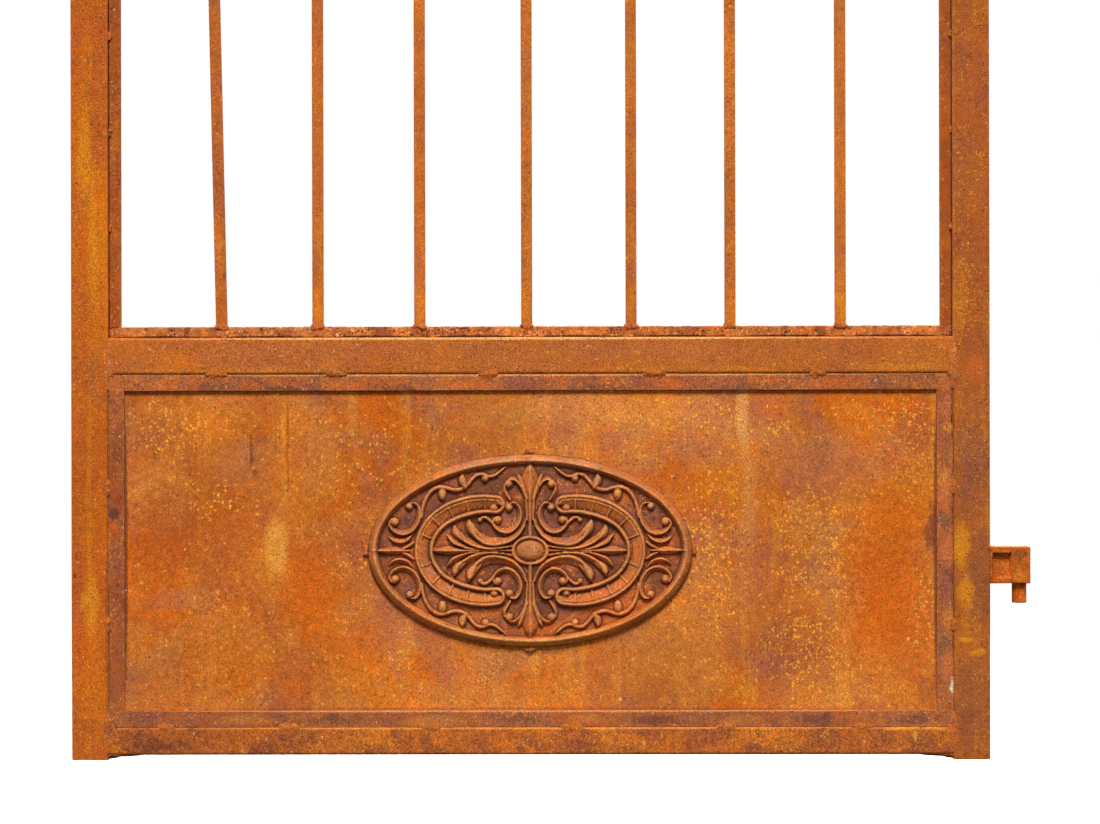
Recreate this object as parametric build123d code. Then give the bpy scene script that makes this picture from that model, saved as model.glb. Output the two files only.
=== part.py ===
from build123d import *
import math
import os

# Garden gate leaf of welded steel tube: barred grille above, sheet panel with a cast oval medallion below.
# Millimetres. X runs along the leaf to the hinge side, the front faces -Y and Z points up.
# The origin is on the hinge axis, at the underside of the lower hinge block.

# Tube frame
LEAF_WIDTH = 1000.0
LEAF_HEIGHT = 1200.0
TUBE = 40.0
TUBE_WALL = 2.0
TUBE_CORNER = 3.5
BOTTOM_RAIL_HEIGHT = 30.0
STILE_FOOT = 5.5
MID_RAIL_LEVEL = 420.0
END_CAP_THICKNESS = 2.0
LEAST_CORNER = 0.3

# Panel, its strips and their setback from the frame's front
STRIP = 18.0
STRIP_THICKNESS = 5.0
STRIP_CORNER = 0.8
STRIP_SETBACK = 2.0
SHEET_THICKNESS = 2.0
SHEET_MARGIN = 1.0

# Grille of square bars, with each bar's error from even spacing and the lean of the first one
BAR = 12.0
BAR_CORNER = 0.9
GRILLE_SIDE_GAP = 0.8
BAR_ERRORS = (3.0, -5.0, -7.0, -3.5, -2.8, -8.1, -1.2)
FIRST_BAR_LEAN = 1.2

# Medallion
MEDALLION_HALF_WIDTH = 176.5
MEDALLION_HALF_HEIGHT = 105.0
RIM_WIDTH = 11.0
RIM_HEIGHT = 11.0
RIM_ROUND = 4.0
RIM_ROUND_LIMIT = 0.45
GROUND_THICKNESS = 3.0
STRAP_HEIGHT = 5.0
LEAF_RELIEF = 5.5
BOSS_RING_HEIGHT = 5.0
BOSS_HEIGHT = 9.0
BOSS_ROUND = 3.5

# Hinges
PIN_OFFSET = 33.0
PIN_DIAMETER = 16.0
PIN_FREE_LENGTH = 21.5
PIN_CHAMFER = 1.0
JOURNAL_DIAMETER = 12.0
RUNNING_CLEARANCE = 0.05
BORE_ROOF = 9.5
BORE_END_GAP = 0.5
TOP_PIN_GAP = 0.5
HINGE_HEIGHT = 40.0
HINGE_DEPTH = 30.0
BLOCK_WIDTH = 22.0
BLOCK_ROUND = 3.0
POCKET_FLANGE = 7.0
POCKET_WALL = 2.5
POCKET_BACK = 20.0
LOWER_HINGE_LEVEL = 191.0
UPPER_HINGE_DROP = 232.0

# Latch
LATCH_LEVEL = 1000.0
LATCH_ROD = 10.0
LATCH_ROD_ROUND = 1.5
LATCH_TRAVEL = 40.0
LATCH_SIDE_GAP = 0.5
LATCH_STOP_GAP = 0.5
LATCH_OVERRUN = 4.0
HANDLE_DIAMETER = 8.0
HANDLE_LENGTH = 48.0
COLLAR_DIAMETER = 18.0
COLLAR_LENGTH = 8.0
LUG_THICKNESS = 6.0
LUG_HEIGHT = 24.0
LUG_EDGE = 4.0

# Welds: half thickness and length of each kind, where along a joint the tacks sit,
# and how far the tacks under the grille miss the bars
FRAME_WELD = 4.5
FRAME_WELD_SINK = 3.0
TACK = 3.2
TACK_LENGTH = 12.0
SMALL_TACK = 2.6
SMALL_TACK_LENGTH = 7.0
TACK_PROUD = 0.7
LEAST_WELD_SLENDERNESS = 1.1
BAR_WELD = 3.0
BAR_WELD_SINK = 1.6
BAR_WELD_INSET = 0.75
MEDALLION_TACK = 4.0
MEDALLION_TACK_LENGTH = 10.0
HINGE_WELD = 2.5
LATCH_WELD = 2.0
TOP_STRIP_TACKS = (0.129, 0.271, 0.451, 0.647, 0.841)
BOTTOM_STRIP_TACKS = (0.068, 0.214, 0.383, 0.549, 0.731, 0.893)
SIDE_STRIP_TACKS = (0.32, 0.71)
GRILLE_SIDE_TACKS = (0.16, 0.315, 0.47, 0.63, 0.79, 0.93)
GRILLE_FOOT_MISSES = (1.1, 11.5, 16.9, 0.5, -2.2, -0.5, -10.0)
SHEET_TACKS = (0.1, 0.37, 0.63, 0.9)

# Places worked out from the sizes above
HALF_TUBE = TUBE / 2
LEFT = -PIN_OFFSET - LEAF_WIDTH
RIGHT = -PIN_OFFSET
INNER_LEFT = LEFT + TUBE
INNER_RIGHT = RIGHT - TUBE
CLEAR_WIDTH = INNER_RIGHT - INNER_LEFT
BOTTOM = -LOWER_HINGE_LEVEL
TOP = BOTTOM + LEAF_HEIGHT
BOTTOM_RAIL_LOW = BOTTOM + STILE_FOOT
BOTTOM_RAIL_TOP = BOTTOM_RAIL_LOW + BOTTOM_RAIL_HEIGHT
MID_RAIL_LOW = BOTTOM + MID_RAIL_LEVEL
MID_RAIL_TOP = MID_RAIL_LOW + TUBE
TOP_RAIL_LOW = TOP - TUBE
STRIP_FRONT = -HALF_TUBE + STRIP_SETBACK
STRIP_MIDDLE = STRIP_FRONT + STRIP_THICKNESS / 2
SHEET_FRONT = STRIP_FRONT + STRIP_THICKNESS
SHEET_BACK = SHEET_FRONT + SHEET_THICKNESS
PANEL_CENTRE_X = (INNER_LEFT + INNER_RIGHT) / 2
PANEL_CENTRE_Z = (BOTTOM_RAIL_TOP + MID_RAIL_LOW) / 2
GRILLE_LEFT = INNER_LEFT + GRILLE_SIDE_GAP
GRILLE_RIGHT = INNER_RIGHT - GRILLE_SIDE_GAP
BARS_LOW = MID_RAIL_TOP + BAR
BARS_TOP = TOP_RAIL_LOW - BAR
BARS_LENGTH = BARS_TOP - BARS_LOW
UPPER_HINGE_LOW = TOP - UPPER_HINGE_DROP
HINGE_LOWS = {"lower": 0.0, "upper": UPPER_HINGE_LOW}
LATCH_Z = BOTTOM + LATCH_LEVEL
LATCH_Y = BAR / 2 + LATCH_SIDE_GAP + LATCH_ROD / 2


# Basic solids

UPWARDS = (Align.CENTER, Align.CENTER, Align.MIN)
DOWNWARDS = (Align.CENTER, Align.CENTER, Align.MAX)


def tube_section(across, deep, wall, corner):
    """Hollow rounded section, centred."""
    inner_corner = max(corner - wall, LEAST_CORNER)
    hollow = RectangleRounded(across - 2 * wall, deep - 2 * wall, inner_corner)
    return RectangleRounded(across, deep, corner) - hollow


def upright(section, x, y, low, length):
    """A section drawn upwards from a level."""
    return Pos(x, y, low) * extrude(section, length)


def level(section, left, y, z, length):
    """A section drawn along X, its own X axis pointing down."""
    return Pos(left, y, z) * Rot(0, 90, 0) * extrude(section, length)


def block(low, high):
    """Rectangular solid between two corners."""
    size = [b - a for a, b in zip(low, high)]
    return Pos(*low) * Box(*size, align=(Align.MIN, Align.MIN, Align.MIN))


def rod_along_x(radius, left, length, y, z):
    """Round rod lying along X."""
    return Pos(left, y, z) * Rot(0, 90, 0) * Cylinder(radius, length, align=UPWARDS)


def capsule(radius, length):
    """Lump with round ends, centred, lying along X."""
    half = max(length / 2, LEAST_WELD_SLENDERNESS * radius)
    straight = half - radius
    slant = radius / math.sqrt(2)
    left_end = ThreePointArc((-half, 0), (-straight - slant, slant), (-straight, radius))
    side = Line((-straight, radius), (straight, radius))
    right_end = ThreePointArc((straight, radius), (straight + slant, slant), (half, 0))
    middle = Line((half, 0), (-half, 0))
    return revolve(make_face(left_end + side + right_end + middle), Axis.X)


SEAM_TURN = 23.0
ALONG_X = Rot(SEAM_TURN, 0, 0)
ALONG_Z = Rot(0, 90, 0) * Rot(SEAM_TURN, 0, 0)


def weld(place, radius, length, turn, neighbours):
    """Weld lump trimmed by the pieces that it joins, so that it meets them face to face."""
    lump = Pos(*place) * turn * capsule(radius, length) - list(neighbours)
    return max(lump.solids(), key=lambda solid: solid.volume)


# Tube frame

def stile_envelope(left):
    """Outer form of a stile."""
    section = RectangleRounded(TUBE, TUBE, TUBE_CORNER)
    return upright(section, left + HALF_TUBE, 0, BOTTOM, LEAF_HEIGHT)


def stile(left):
    """Square tube standing for the whole height of the leaf."""
    return upright(tube_section(TUBE, TUBE, TUBE_WALL, TUBE_CORNER), left + HALF_TUBE, 0, BOTTOM, LEAF_HEIGHT)


def latch_stile():
    """Left stile, drilled through both side walls for the latch rod."""
    drill_radius = LATCH_ROD / 2 + RUNNING_CLEARANCE
    drill = rod_along_x(drill_radius, LEFT - TUBE_WALL, TUBE + 2 * TUBE_WALL, LATCH_Y, LATCH_Z)
    return stile(LEFT) - drill


def rail_envelope(low, height):
    """Outer form of a rail between the stiles."""
    return level(RectangleRounded(height, TUBE, TUBE_CORNER), INNER_LEFT, 0, low + height / 2, CLEAR_WIDTH)


def rail(low, height):
    """Tube between the stiles."""
    section = tube_section(height, TUBE, TUBE_WALL, TUBE_CORNER)
    return level(section, INNER_LEFT, 0, low + height / 2, CLEAR_WIDTH)


def end_caps():
    """Plates that close the four ends of the stiles, flush with the ends."""
    inside = TUBE - 2 * TUBE_WALL
    section = RectangleRounded(inside, inside, max(TUBE_CORNER - TUBE_WALL, LEAST_CORNER))
    caps = []
    for left in (LEFT, INNER_RIGHT):
        for low in (BOTTOM, TOP - END_CAP_THICKNESS):
            caps.append(upright(section, left + HALF_TUBE, 0, low, END_CAP_THICKNESS))
    return caps


# Panel

def level_strip(low):
    """Flat bar along X between the stiles."""
    section = RectangleRounded(STRIP, STRIP_THICKNESS, STRIP_CORNER)
    return level(section, INNER_LEFT, STRIP_MIDDLE, low + STRIP / 2, CLEAR_WIDTH)


def upright_strip(left):
    """Flat bar standing between the two level strips."""
    section = RectangleRounded(STRIP, STRIP_THICKNESS, STRIP_CORNER)
    low = BOTTOM_RAIL_TOP + STRIP
    return upright(section, left + STRIP / 2, STRIP_MIDDLE, low, MID_RAIL_LOW - STRIP - low)


def panel_sheet():
    """Sheet steel against the backs of the strips."""
    low = (INNER_LEFT + SHEET_MARGIN, SHEET_FRONT, BOTTOM_RAIL_TOP + SHEET_MARGIN)
    high = (INNER_RIGHT - SHEET_MARGIN, SHEET_BACK, MID_RAIL_LOW - SHEET_MARGIN)
    return block(low, high)


# Medallion ornament, drawn in the upper right quarter as shares of the oval field

FIELD_WIDTH = MEDALLION_HALF_WIDTH - RIM_WIDTH
FIELD_HEIGHT = MEDALLION_HALF_HEIGHT - RIM_WIDTH
STRAP_OUTER = (0.765, 0.66)
STRAP_INNER = (0.657, 0.45)
STRAP_GAP = 0.2
BOSS_RING = (0.114, 0.156)
BOSS = (0.089, 0.106)
SCROLL_WIDTH = 0.06
SCROLL_BALL = 0.045

# Each leaf has its root, its tip, and its half width and bend as shares of the field's height
LEAVES = (
    ((0.0, 0.12), (0.0, 0.97), 0.07, 0.0),
    ((0.01, 0.42), (0.088, 0.84), 0.05, -0.03),
    ((0.03, 0.36), (0.165, 0.80), 0.045, -0.04),
    ((0.0, 0.27), (0.28, 0.08), 0.05, -0.03),
    ((0.24, 0.07), (0.415, 0.32), 0.06, -0.07),
    ((0.08, 0.0), (0.645, 0.0), 0.065, 0.0),
    ((0.13, 0.04), (0.508, 0.272), 0.05, -0.09),
    ((0.42, 0.01), (0.558, 0.16), 0.04, -0.03),
    ((0.75, 0.0), (0.98, 0.0), 0.05, 0.0),
    ((0.755, 0.18), (0.936, 0.17), 0.05, -0.06),
    ((0.725, 0.42), (0.60, 0.77), 0.045, -0.05),
    ((0.65, 0.72), (0.42, 0.77), 0.045, -0.03),
    ((0.45, 0.72), (0.29, 0.92), 0.045, 0.04),
    ((0.31, 0.91), (0.17, 0.94), 0.04, 0.05),
)

# Each scroll has its centre, its radius as a share of the field's height, and its start and sweep in degrees
SCROLLS = (
    ((0.143, 0.41), 0.186, 108.0, 240.0),
    ((0.829, 0.385), 0.18, 105.0, 240.0),
)

# Each bud has its centre and its radius as a share of the field's height
BUDS = (
    ((0.122, 0.80), 0.06),
    ((0.286, 0.863), 0.05),
    ((0.576, 0.667), 0.06),
)


def field_point(share):
    """A point of the oval field from its shares."""
    return Vector(share[0] * FIELD_WIDTH, share[1] * FIELD_HEIGHT)


def ornament_leaf(root, tip, half_width, bend):
    """Pointed leaf between two arcs."""
    start = field_point(root)
    end = field_point(tip)
    along = (end - start).normalized()
    side = Vector(-along.Y, along.X) * FIELD_HEIGHT
    middle = (start + end) / 2 + side * bend
    left_edge = ThreePointArc(start, middle + side * half_width, end)
    right_edge = ThreePointArc(end, middle - side * half_width, start)
    return make_face(left_edge + right_edge)


def ornament_scroll(centre, radius, start, sweep):
    """Band along an arc, with a ball at each end."""
    reach = radius * FIELD_HEIGHT
    half = SCROLL_WIDTH * FIELD_HEIGHT / 2
    middle = field_point(centre)
    outer = CenterArc(middle, reach + half, start, sweep)
    inner = CenterArc(middle, reach - half, start, sweep)
    line = CenterArc(middle, reach, start, sweep)
    ends = Line(outer @ 0, inner @ 0) + Line(outer @ 1, inner @ 1)
    band = make_face(outer + inner + ends)
    balls = [Pos(*(line @ share)) * Circle(SCROLL_BALL * FIELD_HEIGHT) for share in (0, 1)]
    return band + balls


def foliage():
    """Leaves, scrolls and buds in all four quarters, kept inside the field."""
    shapes = [ornament_leaf(*leaf) for leaf in LEAVES]
    shapes += [ornament_scroll(*scroll) for scroll in SCROLLS]
    shapes += [Pos(*field_point(centre)) * Circle(radius * FIELD_HEIGHT) for centre, radius in BUDS]
    quarter = Sketch() + shapes
    half = quarter + mirror(quarter, Plane.YZ)
    return (half + mirror(half, Plane.XZ)) & Ellipse(FIELD_WIDTH, FIELD_HEIGHT)


def strapwork():
    """Two facing bands that leave the upright axis open."""
    band = Ellipse(STRAP_OUTER[0] * FIELD_WIDTH, STRAP_OUTER[1] * FIELD_HEIGHT)
    band -= Ellipse(STRAP_INNER[0] * FIELD_WIDTH, STRAP_INNER[1] * FIELD_HEIGHT)
    return band - Rectangle(2 * STRAP_GAP * FIELD_WIDTH, 2 * FIELD_HEIGHT)


def raised(sketch, height):
    """A flat shape raised above the casting's ground, from its back."""
    return extrude(sketch, GROUND_THICKNESS + height)


def medallion():
    """Oval casting: ground plate, rounded rim, strapwork, foliage and central boss."""
    oval = Ellipse(MEDALLION_HALF_WIDTH, MEDALLION_HALF_HEIGHT)
    rim = extrude(oval - Ellipse(FIELD_WIDTH, FIELD_HEIGHT), RIM_HEIGHT)
    rim_round = min(RIM_ROUND, RIM_ROUND_LIMIT * RIM_WIDTH)
    rim = fillet(rim.edges().group_by(Axis.Z)[-1], rim_round)
    ring = Ellipse(BOSS_RING[0] * FIELD_WIDTH, BOSS_RING[1] * FIELD_HEIGHT)
    boss = raised(Ellipse(BOSS[0] * FIELD_WIDTH, BOSS[1] * FIELD_HEIGHT), BOSS_HEIGHT)
    boss = fillet(boss.edges().group_by(Axis.Z)[-1], BOSS_ROUND)
    casting = extrude(oval, GROUND_THICKNESS) + [
        rim,
        raised(strapwork(), STRAP_HEIGHT),
        raised(foliage(), LEAF_RELIEF),
        raised(ring, BOSS_RING_HEIGHT),
        boss,
    ]
    return Pos(PANEL_CENTRE_X, SHEET_FRONT, PANEL_CENTRE_Z) * Rot(90, 0, 0) * casting


# Grille

def bar_section():
    """Square bar with eased edges."""
    return RectangleRounded(BAR, BAR, BAR_CORNER)


def grille_level_bar(low):
    """Bar along the bottom or top of the grille."""
    return level(bar_section(), GRILLE_LEFT, 0, low + BAR / 2, GRILLE_RIGHT - GRILLE_LEFT)


def grille_side_bar(left):
    """Bar beside a stile, standing between the level bars."""
    return upright(bar_section(), left + BAR / 2, 0, BARS_LOW, BARS_LENGTH)


def bar_foot(index):
    """Middle of an upright bar's foot."""
    pitch = (GRILLE_RIGHT - GRILLE_LEFT - BAR) / (len(BAR_ERRORS) + 1)
    return GRILLE_LEFT + BAR / 2 + (index + 1) * pitch + BAR_ERRORS[index]


def bar_lean(index):
    """Run towards -X per unit of height."""
    if index == 0:
        return math.tan(math.radians(FIRST_BAR_LEAN))
    return 0.0


def bar_middle(index, z):
    """Middle of an upright bar at a height."""
    return bar_foot(index) - bar_lean(index) * (z - BARS_LOW)


def grille_bar(index):
    """Upright bar, cut level at both ends."""
    slope = Vector(-bar_lean(index), 0, 1)
    bar = extrude(bar_section(), BARS_LENGTH * slope.length, dir=slope.normalized())
    return Pos(bar_foot(index), 0, BARS_LOW) * bar


# Hinges

def hinge_bracket(low):
    """Short box on the stile's outer face, open to the front."""
    near = RIGHT
    far = -BLOCK_WIDTH / 2
    half = HINGE_DEPTH / 2
    body = block((near, -half, low), (far, half, low + HINGE_HEIGHT))
    pocket_low = (near + POCKET_WALL, -HINGE_DEPTH, low + POCKET_FLANGE)
    pocket_high = (far + BLOCK_WIDTH, half - POCKET_BACK, low + HINGE_HEIGHT - POCKET_FLANGE)
    return body - block(pocket_low, pocket_high)


def hinge_block():
    """Block at the lower bracket's outer end, with a blind bore for the pin from below."""
    half_width = BLOCK_WIDTH / 2
    half_depth = HINGE_DEPTH / 2
    body = block((-half_width, -half_depth, 0), (half_width, half_depth, HINGE_HEIGHT))
    outer_edges = body.edges().filter_by(Axis.Z).group_by(Axis.X)[-1]
    body = fillet(outer_edges, BLOCK_ROUND)
    bore_radius = JOURNAL_DIAMETER / 2 + RUNNING_CLEARANCE
    return body - Cylinder(bore_radius, HINGE_HEIGHT - BORE_ROOF, align=UPWARDS)


def hinge_pin():
    """Lower pin: the leaf rests on its shoulder, and the thick end points down."""
    journal = Cylinder(JOURNAL_DIAMETER / 2, HINGE_HEIGHT - BORE_ROOF - BORE_END_GAP, align=UPWARDS)
    free_end = Cylinder(PIN_DIAMETER / 2, PIN_FREE_LENGTH, align=DOWNWARDS)
    free_end = chamfer(free_end.edges().group_by(Axis.Z)[0], PIN_CHAMFER)
    return journal + free_end


def turned_over(piece, gap):
    """Piece of the lower hinge turned over for the upper one, so that the leaf can't be lifted off."""
    return Pos(0, 0, UPPER_HINGE_LOW + HINGE_HEIGHT + gap) * mirror(piece, about=Plane.XY)


# Latch

def lug_left():
    """Left face of the guide lug, in line with the first grille bar's left face."""
    return bar_middle(0, LATCH_Z) - BAR / 2


def handle_middle():
    """Middle of the handle with the latch drawn back."""
    return INNER_LEFT + LATCH_STOP_GAP + HANDLE_DIAMETER / 2 + LATCH_TRAVEL


def latch_rod():
    """Round rod, flush with the leaf's edge when drawn back, that runs past the lug by its travel."""
    right = lug_left() + LUG_THICKNESS + LATCH_TRAVEL + LATCH_OVERRUN
    rod = rod_along_x(LATCH_ROD / 2, LEFT, right - LEFT, LATCH_Y, LATCH_Z)
    return fillet(rod.edges().filter_by(GeomType.CIRCLE), LATCH_ROD_ROUND)


def latch_handle():
    """Round bar welded square to the back of the rod."""
    bar = Cylinder(HANDLE_DIAMETER / 2, LATCH_ROD / 2 + HANDLE_LENGTH, align=UPWARDS)
    bar = Pos(handle_middle(), LATCH_Y, LATCH_Z) * Rot(-90, 0, 0) * bar
    bar = fillet(bar.edges().group_by(Axis.Y)[-1], LATCH_ROD_ROUND)
    return bar - rod_along_x(LATCH_ROD / 2, LEFT, LEAF_WIDTH, LATCH_Y, LATCH_Z)


def latch_stop_collar():
    """Ring on the rod that meets the lug when the latch is drawn back."""
    left = lug_left() - LATCH_STOP_GAP - COLLAR_LENGTH
    ring = rod_along_x(COLLAR_DIAMETER / 2, left, COLLAR_LENGTH, LATCH_Y, LATCH_Z)
    return ring - rod_along_x(LATCH_ROD / 2, LEFT, LEAF_WIDTH, LATCH_Y, LATCH_Z)


def latch_guide_lug():
    """Plate on the back of the first grille bar with a hole for the rod."""
    back = LATCH_Y + LATCH_ROD / 2 + LUG_EDGE
    low = (lug_left(), BAR / 2, LATCH_Z - LUG_HEIGHT / 2)
    high = (lug_left() + LUG_THICKNESS, back, LATCH_Z + LUG_HEIGHT / 2)
    drill = rod_along_x(LATCH_ROD / 2 + RUNNING_CLEARANCE, LEFT, LEAF_WIDTH, LATCH_Y, LATCH_Z)
    return block(low, high) - drill


# Welds

STILE_FORMS = (stile_envelope(LEFT), stile_envelope(INNER_RIGHT))
MID_RAIL_FORM = rail_envelope(MID_RAIL_LOW, TUBE)
TOP_RAIL_FORM = rail_envelope(TOP_RAIL_LOW, TUBE)
BOTTOM_RAIL_FORM = rail_envelope(BOTTOM_RAIL_LOW, BOTTOM_RAIL_HEIGHT)
STRIP_TOP_FORM = level_strip(MID_RAIL_LOW - STRIP)
STRIP_BOTTOM_FORM = level_strip(BOTTOM_RAIL_TOP)
STRIP_LEFT_FORM = upright_strip(INNER_LEFT)
STRIP_RIGHT_FORM = upright_strip(INNER_RIGHT - STRIP)
GRILLE_BOTTOM_FORM = grille_level_bar(MID_RAIL_TOP)
GRILLE_TOP_FORM = grille_level_bar(BARS_TOP)
GRILLE_SIDE_FORMS = (grille_side_bar(GRILLE_LEFT), grille_side_bar(GRILLE_RIGHT - BAR))


def frame_corner_welds():
    """Beads over the joints of rails and stiles, front and back."""
    rails = (
        (BOTTOM_RAIL_LOW, BOTTOM_RAIL_HEIGHT, BOTTOM_RAIL_FORM),
        (MID_RAIL_LOW, TUBE, MID_RAIL_FORM),
        (TOP_RAIL_LOW, TUBE, TOP_RAIL_FORM),
    )
    depth = HALF_TUBE - FRAME_WELD_SINK
    welds = []
    for low, height, form in rails:
        length = height - 2 * TUBE_CORNER
        for x, stile_form in zip((INNER_LEFT, INNER_RIGHT), STILE_FORMS):
            for y in (-depth, depth):
                welds.append(weld((x, y, low + height / 2), FRAME_WELD, length, ALONG_Z, (form, stile_form)))
    return welds


def panel_strip_welds():
    """Tacks in the front corner between the panel strips and the frame."""
    welds = []
    for share in TOP_STRIP_TACKS:
        place = (INNER_LEFT + share * CLEAR_WIDTH, STRIP_FRONT, MID_RAIL_LOW)
        welds.append(weld(place, TACK, TACK_LENGTH, ALONG_X, (MID_RAIL_FORM, STRIP_TOP_FORM)))
    for share in BOTTOM_STRIP_TACKS:
        place = (INNER_LEFT + share * CLEAR_WIDTH, STRIP_FRONT, BOTTOM_RAIL_TOP)
        welds.append(weld(place, TACK, TACK_LENGTH, ALONG_X, (BOTTOM_RAIL_FORM, STRIP_BOTTOM_FORM)))
    for share in SIDE_STRIP_TACKS:
        z = MID_RAIL_LOW - share * (MID_RAIL_LOW - BOTTOM_RAIL_TOP)
        left_pair = (STILE_FORMS[0], STRIP_LEFT_FORM)
        right_pair = (STILE_FORMS[1], STRIP_RIGHT_FORM)
        welds.append(weld((INNER_LEFT, STRIP_FRONT, z), TACK, TACK_LENGTH, ALONG_Z, left_pair))
        welds.append(weld((INNER_RIGHT, STRIP_FRONT, z), TACK, TACK_LENGTH, ALONG_Z, right_pair))
    return welds


def panel_sheet_welds():
    """Tacks between the sheet's edge and the frame, on the back."""
    panel_form = block((INNER_LEFT, STRIP_FRONT, BOTTOM_RAIL_TOP), (INNER_RIGHT, SHEET_BACK, MID_RAIL_LOW))
    back = SHEET_BACK + TACK_PROUD
    high = MID_RAIL_LOW - TACK_PROUD
    low = BOTTOM_RAIL_TOP + TACK_PROUD
    welds = []
    for share in SHEET_TACKS:
        x = INNER_LEFT + share * CLEAR_WIDTH
        welds.append(weld((x, back, high), TACK, TACK_LENGTH, ALONG_X, (MID_RAIL_FORM, panel_form)))
        welds.append(weld((x, back, low), TACK, TACK_LENGTH, ALONG_X, (BOTTOM_RAIL_FORM, panel_form)))
    return welds


def grille_bar_welds():
    """Beads on the front at the foot and head of each upright bar."""
    depth = -BAR / 2 + BAR_WELD_SINK
    length = BAR - 2 * BAR_WELD_INSET
    welds = []
    for index in range(len(BAR_ERRORS)):
        form = grille_bar(index)
        foot = (bar_middle(index, BARS_LOW), depth, BARS_LOW)
        head = (bar_middle(index, BARS_TOP), depth, BARS_TOP)
        welds.append(weld(foot, BAR_WELD, length, ALONG_X, (form, GRILLE_BOTTOM_FORM)))
        welds.append(weld(head, BAR_WELD, length, ALONG_X, (form, GRILLE_TOP_FORM)))
    return welds


def grille_tack_welds():
    """Tacks between the grille's outer bars and the frame."""
    front = -BAR / 2 - TACK_PROUD
    left_gap = INNER_LEFT + GRILLE_SIDE_GAP / 2
    right_gap = INNER_RIGHT - GRILLE_SIDE_GAP / 2
    welds = []
    for index, miss in enumerate(GRILLE_FOOT_MISSES):
        low_place = (bar_middle(index, BARS_LOW) + miss, front, MID_RAIL_TOP)
        high_place = (bar_middle(index, BARS_TOP), front, TOP_RAIL_LOW)
        low_pair = (MID_RAIL_FORM, GRILLE_BOTTOM_FORM)
        high_pair = (TOP_RAIL_FORM, GRILLE_TOP_FORM)
        welds.append(weld(low_place, SMALL_TACK, SMALL_TACK_LENGTH, ALONG_X, low_pair))
        welds.append(weld(high_place, SMALL_TACK, SMALL_TACK_LENGTH, ALONG_X, high_pair))
    for share in GRILLE_SIDE_TACKS:
        z = BARS_LOW + share * BARS_LENGTH
        left_pair = (STILE_FORMS[0], GRILLE_SIDE_FORMS[0])
        right_pair = (STILE_FORMS[1], GRILLE_SIDE_FORMS[1])
        welds.append(weld((left_gap, front, z), SMALL_TACK, SMALL_TACK_LENGTH, ALONG_Z, left_pair))
        welds.append(weld((right_gap, front, z), SMALL_TACK, SMALL_TACK_LENGTH, ALONG_Z, right_pair))
    return welds


def medallion_welds():
    """Tacks between the casting's edge and the sheet at the ends of both axes."""
    oval = Pos(PANEL_CENTRE_X, SHEET_FRONT, PANEL_CENTRE_Z) * Rot(90, 0, 0) * extrude(
        Ellipse(MEDALLION_HALF_WIDTH, MEDALLION_HALF_HEIGHT), RIM_HEIGHT
    )
    sheet = panel_sheet()
    welds = []
    front = SHEET_FRONT - TACK_PROUD
    for side in (-1, 1):
        across = (PANEL_CENTRE_X + side * (MEDALLION_HALF_WIDTH + TACK_PROUD), front, PANEL_CENTRE_Z)
        above = (PANEL_CENTRE_X, front, PANEL_CENTRE_Z + side * (MEDALLION_HALF_HEIGHT + TACK_PROUD))
        welds.append(weld(across, MEDALLION_TACK, MEDALLION_TACK_LENGTH, ALONG_Z, (oval, sheet)))
        welds.append(weld(above, MEDALLION_TACK, MEDALLION_TACK_LENGTH, ALONG_X, (oval, sheet)))
    return welds


def hinge_welds():
    """Beads down the front and back corners between each bracket and the stile."""
    welds = []
    for low in HINGE_LOWS.values():
        bracket = hinge_bracket(low)
        near = (bracket, STILE_FORMS[1])
        half = HINGE_DEPTH / 2
        for y in (-half, half):
            place = (RIGHT, y, low + HINGE_HEIGHT / 2)
            welds.append(weld(place, HINGE_WELD, HINGE_HEIGHT, ALONG_Z, near))
    return welds


def latch_welds():
    """Beads above and below the guide lug on the first grille bar."""
    form = grille_bar(0)
    lug = latch_guide_lug()
    welds = []
    for side in (-1, 1):
        place = (lug_left() + LUG_THICKNESS / 2, BAR / 2, LATCH_Z + side * LUG_HEIGHT / 2)
        welds.append(weld(place, LATCH_WELD, LUG_THICKNESS, ALONG_X, (form, lug)))
    return welds


# Nodes

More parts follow.
